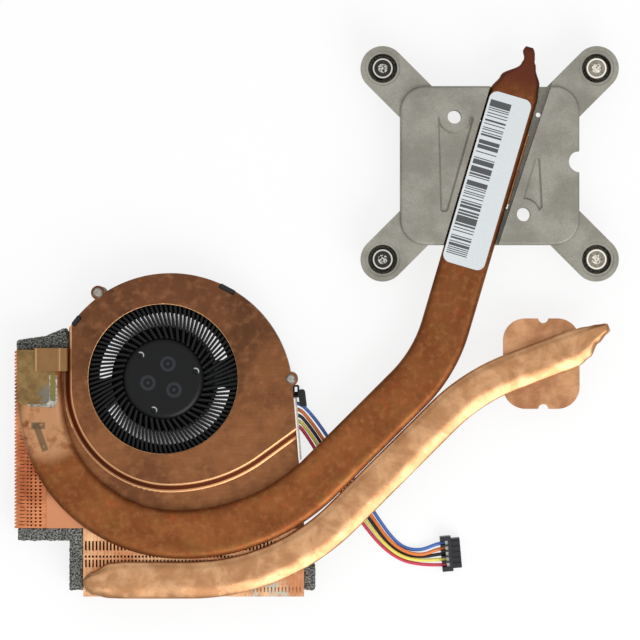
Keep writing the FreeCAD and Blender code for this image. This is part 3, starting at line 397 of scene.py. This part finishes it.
def row_group():
    """Geometry nodes that repeat a shape along a line, each turned a hair at random."""
    group = bpy.data.node_groups.new("fin_row", "GeometryNodeTree")
    ids = {}
    for label, kind in (("Shape", "Geometry"), ("Fin count", "Int"), ("Fin step", "Vector"),
                        ("Wobble", "Float"), ("Finish", "Material")):
        socket = group.interface.new_socket(label, in_out="INPUT", socket_type="NodeSocket" + kind)
        ids[label] = socket.identifier
    group.interface.new_socket("Row", in_out="OUTPUT", socket_type="NodeSocketGeometry")
    start = Term(group).node("NodeGroupInput", {}, {}, "Shape")
    given = {label: Term(group, start.socket.node.outputs[label]) for label in ids}
    line = start.node("GeometryNodeMeshLine", {}, {"Count": given["Fin count"], "Offset": given["Fin step"]})
    chance = start.node("FunctionNodeRandomValue", {"data_type": "FLOAT"}, {2: -1.0, 3: 1.0, "Seed": 7}, 1)
    tilt = chance * given["Wobble"]
    turn = start.node("ShaderNodeCombineXYZ", {}, {2: tilt})
    placed = start.node("GeometryNodeInstanceOnPoints", {}, {
        "Points": line, "Instance": given["Shape"], "Rotation": turn})
    real = start.node("GeometryNodeRealizeInstances", {}, {0: placed})
    done = start.node("GeometryNodeSetMaterial", {}, {"Geometry": real, "Material": given["Finish"]})
    end = group.nodes.new("NodeGroupOutput")
    group.links.new(done.socket, end.inputs[0])
    return group, ids


def piece(name, mesh, replaced):
    """A finished piece that rides on the heatsink and stands for CAD nodes."""
    made = bpy.data.objects.new(name, mesh)
    bpy.context.scene.collection.objects.link(made)
    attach(made, "heatsink")
    if replaced:
        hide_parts(replaced)
    return made


def row_mesh(shape, count, step, wobble, look):
    """The plain mesh of a row, from the geometry nodes."""
    maker = bpy.data.objects.new(shape.name + "_maker", shape)
    bpy.context.scene.collection.objects.link(maker)
    change = maker.modifiers.new("row", "NODES")
    change.node_group = fin_group
    for label, value in (("Fin count", count), ("Fin step", step), ("Wobble", wobble), ("Finish", look)):
        change[fin_ids[label]] = value
    graph = bpy.context.evaluated_depsgraph_get()
    mesh = bpy.data.meshes.new_from_object(maker.evaluated_get(graph))
    bpy.data.objects.remove(maker)
    return mesh


def fin_look(light, dark):
    def recipe(where):
        tarnish = where.noise(0.12, 4, 0.6)
        speck = where.noise(1.4, 3)
        colour = tarnish.between(0.35, 0.68).mix(srgb(*dark), srgb(*light))
        colour = (speck.between(0.5, 0.75) * 0.35).mix(colour, srgb(*[c * 0.62 for c in dark]))
        solder = where.noise(0.9, 3).between(0.42, 0.58) * where.along(0, 18.5).between(0, 1.5)
        solder = solder * where.along(0, 29.0).between(0, -1.5)
        solder = solder * where.along(90, 0, -45.5).between(0, -1)
        colour = solder.mix(colour, srgb(196, 188, 170))
        return {
            "Base Color": colour, "Metallic": 0.9, "Roughness": 0.3 + speck * 0.16 + solder * 0.15,
            "Normal": speck.bump(0.015, 0.5)}
    return recipe


fin_group, fin_ids = row_group()
side_slots = ((1.0, 1.6, 0.42), (2.1, 2.6, 0.42), (3.1, 3.6, 0.42), (3.9, 4.4, 0.5), (4.8, 6.0, 0.62))
side_place = Matrix.Translation((-26.55, -33.75, 0)) @ Matrix.Rotation(math.pi / 2, 4, "Z")
side_fin = fin_mesh("side_fin", 7.15, side_slots, 0.5, side_place)
side_finish = material("fin_copper_side", fin_look((222, 142, 96), (160, 84, 50)))
side_row = row_mesh(side_fin, SIDE_FINS, (0, FIN_PITCH * MM, 0), 0.0, side_finish)
piece("side_fins", side_row, "side_fin_stack")
rear_slots = ((1.0, 2.2, 0.55), (6.6, 8.4, 0.45), (8.75, 9.35, 0.35), (10.4, 12.6, 0.4))
rear_place = Matrix.Translation((-18.15, -49.25, 0))
rear_fin = fin_mesh("rear_fin", 15.4, rear_slots, 0.0, rear_place)
rear_finish = material("fin_copper_rear", fin_look((250, 200, 152), (204, 138, 96)))
rear_row = row_mesh(rear_fin, REAR_FINS, (FIN_PITCH * MM, 0, 0), 0.0, rear_finish)
piece("rear_fins", rear_row, "rear_fin_stack")


# Heat pipes: round copper pipes flattened to 2.5 mm, bent on edge, their sealed ends
# crimped. The wide one is oxidised brown, the narrow one bright and slightly dented.
PIPE_LOW = 7.4
PIPE_HALF = 1.25


def pipe_line(route, bends, step=0.9):
    """Points with their sideways direction along straight runs joined by arcs."""
    corners = [Vector((x, y)) for x, y in route]
    found = []
    here = corners[0]

    def run(start, end):
        length = (end - start).length
        way = (end - start).normalized()
        count = max(1, round(length / step))
        for i in range(count):
            found.append((start + way * (length * i / count), Vector((-way.y, way.x))))

    for i, bend in enumerate(bends):
        before = (corners[i + 1] - corners[i]).normalized()
        after = (corners[i + 2] - corners[i + 1]).normalized()
        turn = before.angle_signed(after) * -1
        reach = bend * math.tan(abs(turn) / 2)
        start = corners[i + 1] - before * reach
        run(here, start)
        side = Vector((-before.y, before.x)) * math.copysign(1, turn)
        centre = start + side * bend
        count = max(2, round(bend * abs(turn) / step))
        for k in range(count):
            angle = turn * k / count
            out = Vector((-side.x * math.cos(angle) + side.y * math.sin(angle),
                          -side.x * math.sin(angle) - side.y * math.cos(angle)))
            way = Vector((before.x * math.cos(angle) - before.y * math.sin(angle),
                          before.x * math.sin(angle) + before.y * math.cos(angle)))
            found.append((centre + out * bend, Vector((-way.y, way.x))))
        here = corners[i + 2] - after * (corners[i + 2] - corners[i + 1]).length + after * reach
    run(here, corners[-1])
    way = (corners[-1] - corners[-2]).normalized()
    found.append((corners[-1], Vector((-way.y, way.x))))
    return found


def smooth(value):
    value = min(max(value, 0.0), 1.0)
    return value * value * (3 - 2 * value)


def table(rows, place):
    """Values at a place from rows of (place, value, value...), smoothly between."""
    if place <= rows[0][0]:
        return rows[0][1:]
    for low, high in zip(rows, rows[1:]):
        if place <= high[0]:
            share = smooth((place - low[0]) / (high[0] - low[0]))
            return [a + (b - a) * share for a, b in zip(low[1:], high[1:])]
    return rows[-1][1:]


def pipe_mesh(name, line, sides, surface, across=22):
    """A skin round a flattened pipe. sides gives its reach to the left and right and
    its half height at each distance, and surface how far a point of its top sinks."""
    build = bmesh.new()
    rings = []
    gone = 0.0
    last = line[0][0]
    for centre, left in line:
        gone += (centre - last).length
        last = centre
        reach_left, reach_right, half_high, middle = table(sides, gone)
        ring = []
        for top in (True, False):
            for i in range(across):
                slant = math.pi * (i / across - 0.5)
                share = math.sin(slant) if top else -math.sin(slant)
                high = half_high * math.sqrt(max(0.0, 1 - abs(share) ** 7))
                reach = (reach_left + reach_right) / 2
                shift = (reach_left - reach_right) / 2
                offset = shift - share * reach
                point = centre + left * offset
                if top:
                    height = PIPE_LOW + middle + high - surface(share, gone, point) * min(1, high / PIPE_HALF)
                else:
                    height = PIPE_LOW + middle - high
                ring.append(build.verts.new((point.x * MM, point.y * MM, height * MM)))
        rings.append(ring)
    count = 2 * across
    for one, two in zip(rings, rings[1:]):
        for i in range(count):
            k = (i + 1) % count
            build.faces.new((one[i], one[k], two[k], two[i]))
    build.faces.new(rings[0][::-1])
    build.faces.new(rings[-1])
    bmesh.ops.recalc_face_normals(build, faces=build.faces)
    mesh = bpy.data.meshes.new(name)
    build.to_mesh(mesh)
    build.free()
    for face in mesh.polygons:
        face.use_smooth = True
    return mesh


def line_length(line):
    return sum((b[0] - a[0]).length for a, b in zip(line, line[1:]))


def run_on(line, ahead, step=0.6):
    """Carries a pipe's line straight on past its end."""
    point, left = line[-1]
    way = Vector((left.y, -left.x))
    return line + [(point + way * (step * i), left) for i in range(1, round(ahead / step) + 1)]


cpu_route = ((-27.9, 6.0), (-27.9, -35.15), (22.5, -35.15), (61.3, 3.65), (79.1, 64.0))
cpu_line = pipe_line(cpu_route, (31.4, 44.6, 33.05))
cpu_body = line_length(cpu_line)
cpu_line = run_on(cpu_line, 11.4)
cpu_sides = (
    (0.0, 2.6, 2.6, 0.7, 1.25), (1.2, 4.2, 4.2, 1.1, 1.25), (3.2, 5.0, 5.0, 1.25, 1.25),
    (40.0, 5.2, 5.2, 1.25, 1.25), (70.0, 5.55, 5.55, 1.25, 1.25), (cpu_body, 5.5, 5.5, 1.25, 1.25),
    (cpu_body + 3.5, 4.1, 5.0, 1.25, 1.25), (cpu_body + 7.4, 0.4, 3.1, 1.2, 1.25),
    (cpu_body + 8.6, 0.1, 2.4, 1.1, 1.25), (cpu_body + 10.4, 0.9, 2.0, 1.0, 1.3),
    (cpu_body + 11.4, 0.5, 1.3, 0.5, 1.3))


def cpu_surface(share, gone, point):
    """A hollow along the middle, a soft groove beside the outer edge, low edges."""
    dip = 0.12 * max(0.0, 1 - (share / 0.7) ** 2) ** 1.5
    groove = 0.09 * math.exp(-((share - 0.42) / 0.07) ** 2)
    edge = 0.22 * smooth((abs(share) - 0.80) / 0.2)
    waves = noise.noise(Vector((point.x * 0.16, point.y * 0.16, 3.0))) * 0.07
    return dip + groove + edge + waves + 0.07


def gpu_surface(share, gone, point):
    """A low lip, a steep step up from it, and a lower third that slopes away."""
    waver = noise.noise(Vector((gone * 0.09, 2.0, 0.0))) * 0.05
    lip = 0.36 * (1 - smooth((share + 0.80 + waver) / 0.17))
    slope = 0.72 * smooth((share - 0.22 + waver) / 0.95)
    hollow = noise.noise(Vector((point.x * 0.12, point.y * 0.12, 9.0))) * 0.16
    dents = noise.noise(Vector((point.x * 0.45, point.y * 0.45, 5.0))) * 0.07
    return 0.13 + lip + slope + hollow + dents


gpu_route = ((-12.0, -45.4), (26.18, -45.4), (69.844, -1.736), (93.33, 7.15))
gpu_line = pipe_line(gpu_route, (48.8, 44.0))
first, first_left = gpu_line[0]
gpu_line = [(first - Vector((0.6 * i, 0)), first_left) for i in range(10, 0, -1)] + gpu_line
gpu_body = line_length(gpu_line)
gpu_line = run_on(gpu_line, 8.4)
gpu_sides = (
    (0.0, 0.2, 1.7, 0.5, 1.25), (0.5, 0.9, 2.5, 1.0, 1.25), (2.0, 1.9, 3.4, 1.25, 1.25),
    (6.0, 3.9, 4.1, 1.25, 1.25), (9.0, 4.2, 4.2, 1.25, 1.25), (gpu_body - 1.0, 4.2, 4.2, 1.25, 1.25),
    (gpu_body + 2.0, 3.9, 3.2, 1.25, 1.25), (gpu_body + 5.0, 3.4, 0.9, 1.25, 1.25),
    (gpu_body + 7.6, 2.9, -0.35, 1.05, 1.25),
    (gpu_body + 8.4, 2.5, -0.8, 0.5, 1.25))


def brown_pipe_look(where):
    streak = where.noise(0.13, 5, 0.62, 0.4)
    fine = where.noise(0.8, 4, 0.6)
    # up is painted shade: the pipe is made darker towards the top, away from the light, as the cover is.
    up = where.along(90).between(-40, 70)
    colour = up.mix(srgb(142, 86, 46), srgb(114, 68, 38))
    colour = (streak.between(0.36, 0.66) * 0.75).mix(colour, srgb(112, 60, 30))
    olive = where.noise(0.2, 4, 0.6).between(0.52, 0.68)
    colour = (olive * 0.45).mix(colour, srgb(120, 86, 40))
    red = where.noise(0.31, 4, 0.6).between(0.55, 0.72)
    colour = (red * 0.5).mix(colour, srgb(158, 70, 36))
    colour = (fine.between(0.45, 0.75) * 0.35).mix(colour, srgb(176, 116, 72))
    tip = where.along(73.6, 79.1, 64.0).between(-1.0, 5.0)
    colour = tip.mix(colour, srgb(98, 50, 34))
    pale = where.away(-26.0, -10.5).between(9.5, 5.5) * where.noise(0.35, 3).between(0.25, 0.5)
    colour = (pale * 0.85).mix(colour, srgb(196, 146, 106))
    bar = where.along(90, 0, -10.5).between(-0.9, -0.6) * where.along(90, 0, -10.5).between(0.9, 0.6)
    bar = bar * where.along(0, -28.1).between(-1.7, -1.4) * where.along(0, -28.1).between(1.7, 1.4)
    stem = where.along(-70, -27.6, -13.0).between(-3.2, -2.8)
    stem = stem * where.along(-70, -27.6, -13.0).between(3.6, 3.2)
    stem = stem * where.along(20, -27.6, -13.0).between(-0.9, -0.6)
    stem = stem * where.along(20, -27.6, -13.0).between(0.9, 0.6)
    stain = (bar + stem) * where.noise(0.9, 3).between(0.28, 0.42)
    colour = (stain * 0.8).mix(colour, srgb(104, 86, 64))
    rough = 0.33 + streak * 0.16 + fine * 0.06
    return {
        "Base Color": colour, "Metallic": 0.9, "Roughness": rough,
        "Normal": (fine * 0.6 + streak * 0.4).bump(0.03, 0.5)}


def bright_pipe_look(where):
    streak = where.noise(0.2, 5, 0.6, 0.5)
    fine = where.noise(1.1, 4, 0.6)
    colour = streak.between(0.35, 0.68).mix(srgb(180, 130, 90), srgb(213, 164, 121))
    colour = (fine.between(0.55, 0.78) * 0.4).mix(colour, srgb(150, 98, 64))
    rough = 0.22 + streak * 0.14 + fine * 0.08
    return {
        "Base Color": colour, "Metallic": 0.95, "Roughness": rough,
        "Normal": (fine * 0.5 + streak * 0.5).bump(0.05, 0.6)}


cpu_mesh = pipe_mesh("wide_pipe", cpu_line, cpu_sides, cpu_surface)
cpu_mesh.materials.append(material("pipe_brown", brown_pipe_look))
piece("wide_pipe", cpu_mesh, "cpu_heat_pipe")
gpu_mesh = pipe_mesh("narrow_pipe", gpu_line, gpu_sides, gpu_surface)
gpu_mesh.materials.append(material("pipe_bright", bright_pipe_look))
piece("narrow_pipe", gpu_mesh, "gpu_heat_pipe")


# Processor bracket: one light alloy die-casting with its fine matt skin and darker
# marks where it has been handled.
def cast_look(where):
    skin = where.noise(2.6, 4, 0.7)
    cloud = where.noise(0.11, 4, 0.6)
    colour = cloud.between(0.35, 0.65).mix(srgb(140, 138, 127), srgb(162, 159, 149))
    colour = (skin.between(0.35, 0.7) * 0.35).mix(colour, srgb(116, 113, 103))
    return {
        "Base Color": colour, "Metallic": 0.55, "Roughness": 0.5 + skin * 0.16,
        "Normal": skin.bump(0.05, 0.7)}


paint(material("die_cast", cast_look), "cpu_bracket")


# Contact plates: copper, ground flat and lightly tarnished by handling.
def pad_look(where):
    cloud = where.noise(0.18, 5, 0.62)
    ground = where.turned(20).stretch(0.3, 5, 1).noise(1.0, 2)
    colour = cloud.between(0.35, 0.65).mix(srgb(170, 118, 82), srgb(208, 156, 114))
    colour = (ground.between(0.4, 0.8) * 0.25).mix(colour, srgb(136, 90, 60))
    return {
        "Base Color": colour, "Metallic": 0.9, "Roughness": 0.34 + cloud * 0.12,
        "Normal": ground.bump(0.01, 0.5)}


paint(material("pad_copper", pad_look), "cpu_contact_plate", "gpu_contact_plate")


# Captive screws: blackened steel on the left, bright nickel on the right, each with
# its coil spring in the cup and an open ring in its groove.
BRACKET_X = 73.67
BRACKET_Y = 48.53
SPAN_X = 48.25
SPAN_Y = 43.1
SCREW_X = (BRACKET_X - SPAN_X / 2, BRACKET_X + SPAN_X / 2)
SCREW_Y = (BRACKET_Y - SPAN_Y / 2, BRACKET_Y + SPAN_Y / 2)


def screw_look(x, body, edge):
    """A plated head with painted highlights: a bright ring on its rounded edge and glints in its cross
    recess.
    """
    def recipe(where):
        wear = where.noise(1.6, 4, 0.6)
        colour = wear.between(0.35, 0.7).mix(srgb(*[c * 0.8 for c in body]), srgb(*body))
        for y in SCREW_Y:
            out = where.away(x, y)
            # Painted highlights: a bright ring round the head and glints in the recess.
            rim_highlight = out.between(1.85, 2.0) * out.between(2.3, 2.15)
            glint = out.between(1.15, 0.95) * where.noise(2.4, 2).between(0.42, 0.55)
            colour = (rim_highlight + glint).mix(colour, srgb(*edge))
        return {
            "Base Color": colour, "Metallic": 0.95, "Roughness": 0.24 + wear * 0.14,
            "Normal": where.noise(7.0, 2).bump(0.006, 0.4)}
    return recipe


# The last colour given to each is the painted highlight on its heads.
black_finish = material("screw_black", screw_look(SCREW_X[0], (62, 61, 57), (214, 212, 204)))
bright_finish = material("screw_bright", screw_look(SCREW_X[1], (160, 154, 140), (250, 246, 232)))
paint(black_finish, "captive_screw_1", "captive_screw_4")
paint(bright_finish, "captive_screw_2", "captive_screw_3")
spring_finish = material("spring_wire", plated_look((92, 92, 92), 0.3))
ring_finish = material("ring_steel", plated_look((70, 70, 68), 0.35))
for k in (1, 2, 3, 4):
    paint(spring_finish, "screw_spring_%d" % k)
    paint(ring_finish, "retaining_ring_%d" % k)


# End of the wide pipe: an aged plate soldered over it, a clip that ties the plate to
# the fan cover, and a bead of grey solder.
def aged_look(where):
    cloud = where.noise(0.35, 5, 0.65)
    colour = cloud.between(0.35, 0.65).mix(srgb(120, 94, 56), srgb(146, 118, 74))
    stain = where.away(-25.4, -3.6).between(3.4, 1.6) * where.noise(0.8, 3).between(0.3, 0.55)
    colour = (stain * 0.7).mix(colour, srgb(112, 116, 112))
    green = where.along(0, -25.3).between(0, 0.2) * where.along(90, 0, 1).between(0.2, -0.2)
    colour = (green * 0.6).mix(colour, srgb(120, 118, 44))
    on_clip = where.along(0, -28.85).between(0, 0.1) * where.along(90, 0, 1.7).between(-0.1, 0.1)
    colour = (on_clip * 0.7).mix(colour, srgb(142, 102, 64))
    # Painted highlights along the clip's two folds.
    for x in (-28.5, -23.2):
        fold = where.along(0, x).between(-0.25, -0.05) * where.along(0, x).between(0.3, 0.1)
        colour = (fold * on_clip * 0.8).mix(colour, srgb(188, 150, 104))
    speck = where.noise(1.3, 4, 0.7).between(0.56, 0.66) * where.away(-30.3, -3.6).between(3.6, 1.6)
    colour = (speck * 0.7).mix(colour, srgb(74, 54, 40))
    return {
        "Base Color": colour, "Metallic": 0.75, "Roughness": 0.38 + cloud * 0.18,
        "Normal": where.noise(1.8, 3).bump(0.03, 0.5)}


def solder_look(where):
    lumps = where.noise(1.0, 4, 0.6)
    return {
        "Base Color": lumps.between(0.35, 0.7).mix(srgb(112, 106, 96), srgb(202, 198, 186)),
        "Metallic": 0.7, "Roughness": 0.34 + lumps * 0.2, "Normal": lumps.bump(0.12, 0.8)}


paint(material("aged_brass", aged_look), "pipe_end_plate", "pipe_end_clip")
paint(material("solder_grey", solder_look), "plate_solder")


# Foam strips: soft open-cell gaskets, cut by hand, that seal the fins to the case.
FOAM_LOW = 0.6
FOAM_HIGH = 7.2
FOAM_VOXEL = 0.28
FOAM_SWELL = 0.12


def foam_look(where):
    cells = where.noise(2.6, 3, 0.7)
    cloud = where.noise(0.5, 3)
    colour = cells.between(0.42, 0.62).mix(srgb(24, 24, 22), srgb(156, 156, 150))
    colour = (cloud.between(0.3, 0.7) * 0.4).mix(colour, srgb(66, 66, 63))
    return {"Base Color": colour, "Roughness": 0.95, "Normal": (cells + cloud * 0.4).bump(0.25, 0.9)}


def foam_mesh(name, outline):
    build = bmesh.new()
    extruded(build, outline, FOAM_LOW, FOAM_HIGH)
    bmesh.ops.recalc_face_normals(build, faces=build.faces)
    build.transform(Matrix.Scale(MM, 4))
    rough_mesh = bpy.data.meshes.new(name + "_block")
    build.to_mesh(rough_mesh)
    build.free()
    maker = bpy.data.objects.new(name + "_maker", rough_mesh)
    bpy.context.scene.collection.objects.link(maker)
    remesh = maker.modifiers.new("cells", "REMESH")
    remesh.mode = "VOXEL"
    remesh.voxel_size = FOAM_VOXEL * MM
    graph = bpy.context.evaluated_depsgraph_get()
    mesh = bpy.data.meshes.new_from_object(maker.evaluated_get(graph))
    bpy.data.objects.remove(maker)
    for vertex in mesh.vertices:
        place = vertex.co / MM
        sink = -FOAM_SWELL + 0.26 * noise.noise(place * 1.9) + 0.07 * noise.noise(place * 0.5)
        vertex.co = vertex.co - vertex.normal * (sink * MM)
    mesh.name = name
    for face in mesh.polygons:
        face.use_smooth = True
    return mesh


foam_finish = material("foam_grey", foam_look)
foam_strips = (
    ("foam_side_top", ((-33.1, 6.6), (-33.1, 8.6), (-26.7, 9.5), (-22.7, 11.3), (-21.3, 9.6), (-21.3, 7.0),
                       (-26.5, 7.0), (-26.5, 6.6))),
    ("foam_side_bottom", ((-32.8, -36.5), (-18.25, -36.5), (-18.25, -33.8), (-32.8, -33.8))),
    ("foam_rear_left", ((-21.15, -47.7), (-18.25, -47.7), (-18.25, -36.55), (-21.15, -36.55))),
    ("foam_rear_right", ((31.92, -47.7), (34.12, -47.7), (34.12, -42.3), (31.92, -42.3))))
for foam_name, foam_outline in foam_strips:
    strip_mesh = foam_mesh(foam_name + "_soft", foam_outline)
    strip_mesh.materials.clear()
    strip_mesh.materials.append(foam_finish)
    strip = piece(foam_name + "_soft", strip_mesh, foam_name)


# Label: white paper with a column of plain uneven bars down its left side.
LABEL_X = 73.04
LABEL_Y = 44.64
LABEL_ANGLE = 73.57


def label_look(where):
    along = where.along(LABEL_ANGLE, LABEL_X, LABEL_Y)
    across = where.along(LABEL_ANGLE - 90, LABEL_X, LABEL_Y)
    step = along.math("FLOOR", along * 4.4)
    ink = step.node("ShaderNodeTexWhiteNoise", {"noise_dimensions": "1D"}, {"W": step})
    bars = ink.math("GREATER_THAN", ink, 0.42)
    room = across.between(-4.4, -4.3) * across.between(0.5, 0.4)
    room = room * along.between(-18.3, -18.2) * along.between(18.0, 17.9)
    paper = where.noise(1.5, 2).mix(srgb(202, 208, 210), srgb(214, 219, 221))
    return {
        "Base Color": (bars * room * 0.92).mix(paper, srgb(34, 34, 38)),
        "Roughness": 0.5 + where.noise(3, 2) * 0.1}


paint(material("label_paper", label_look), "pipe_label")


# Fan wires: five thin PVC-covered strands that run loose from the motor board to the
# plug, and the plug itself, a black moulded housing with tinned crimps.
WIRE_D = 0.8
blue_route = (
    (27.9, -5.3, 1.63), (30.6, -5.45, 1.6), (33.3, -8.0, 1.1), (36.9, -12.9, 0.6),
    (42.6, -22.3, 0.42), (48.2, -31.4, 0.42), (51.9, -36.6, 0.42), (54.9, -39.0, 0.42),
    (58.6, -39.35, 0.85), (62.343, -37.667, 1.47), (63.887, -37.532, 1.47))
orange_route = (
    (27.9, -6.6, 1.63), (30.55, -6.75, 1.6), (32.9, -9.3, 1.1), (36.1, -13.8, 0.6),
    (41.7, -22.9, 0.45), (47.0, -31.25, 0.75), (51.2, -37.2, 1.2), (54.9, -39.75, 1.28),
    (58.9, -40.45, 1.3), (62.452, -38.912, 1.47), (63.996, -38.777, 1.47))
black_route = (
    (27.9, -7.9, 1.63), (30.5, -8.05, 1.6), (32.6, -10.4, 1.1), (35.5, -14.5, 0.5),
    (41.0, -23.5, 0.42), (46.1, -31.5, 0.42), (50.6, -37.4, 0.42), (54.5, -40.3, 0.42),
    (58.9, -40.95, 0.42), (62.561, -40.157, 1.47), (64.105, -40.022, 1.47))
yellow_route = (
    (27.9, -9.2, 1.63), (30.4, -9.3, 1.6), (32.35, -11.5, 1.15), (34.9, -15.2, 0.65),
    (40.3, -24.1, 0.45), (45.5, -32.2, 0.7), (50.2, -38.1, 1.2), (54.4, -41.0, 1.28),
    (58.6, -41.65, 1.3), (62.67, -41.402, 1.47), (64.214, -41.267, 1.47))
red_route = (
    (27.9, -10.4, 1.63), (30.4, -10.55, 1.6), (32.0, -12.55, 1.12), (34.25, -16.1, 0.5),
    (39.6, -25.0, 0.42), (44.8, -32.8, 0.42), (49.6, -38.7, 0.42), (54.2, -41.8, 0.42),
    (58.6, -42.6, 0.8), (62.779, -42.648, 1.47), (64.323, -42.512, 1.47))


def pvc_look(colour):
    def recipe(where):
        smudge = where.noise(0.9, 3)
        return {
            "Base Color": smudge.mix(srgb(*[c * 0.9 for c in colour]), srgb(*colour)),
            "Roughness": 0.32 + smudge * 0.12, "Normal": where.noise(4, 2).bump(0.01, 0.4)}
    return recipe


def wire(colour_name, route, colour):
    curve = bpy.data.curves.new("lead_" + colour_name, "CURVE")
    curve.dimensions = "3D"
    curve.bevel_depth = WIRE_D / 2 * MM
    curve.bevel_resolution = 4
    curve.resolution_u = 10
    curve.use_fill_caps = True
    spline = curve.splines.new("NURBS")
    spline.points.add(len(route) - 1)
    for point, (x, y, z) in zip(spline.points, route):
        point.co = (x * MM, y * MM, z * MM, 1)
    spline.order_u = 3
    spline.use_endpoint_u = True
    curve.materials.append(material("pvc_" + colour_name, pvc_look(colour)))
    lead = piece("lead_" + colour_name, curve, "wire_" + colour_name)


wire("blue", blue_route, (74, 116, 196))
wire("orange", orange_route, (236, 128, 56))
wire("black", black_route, (30, 27, 25))
wire("yellow", yellow_route, (242, 230, 104))
wire("red", red_route, (214, 66, 92))
paint(material("plug_plastic", moulded_look((38, 38, 42), 0.3)), "plug_housing")
paint(material("crimp_tin", plated_look((206, 206, 202), 0.22)), "plug_terminals")
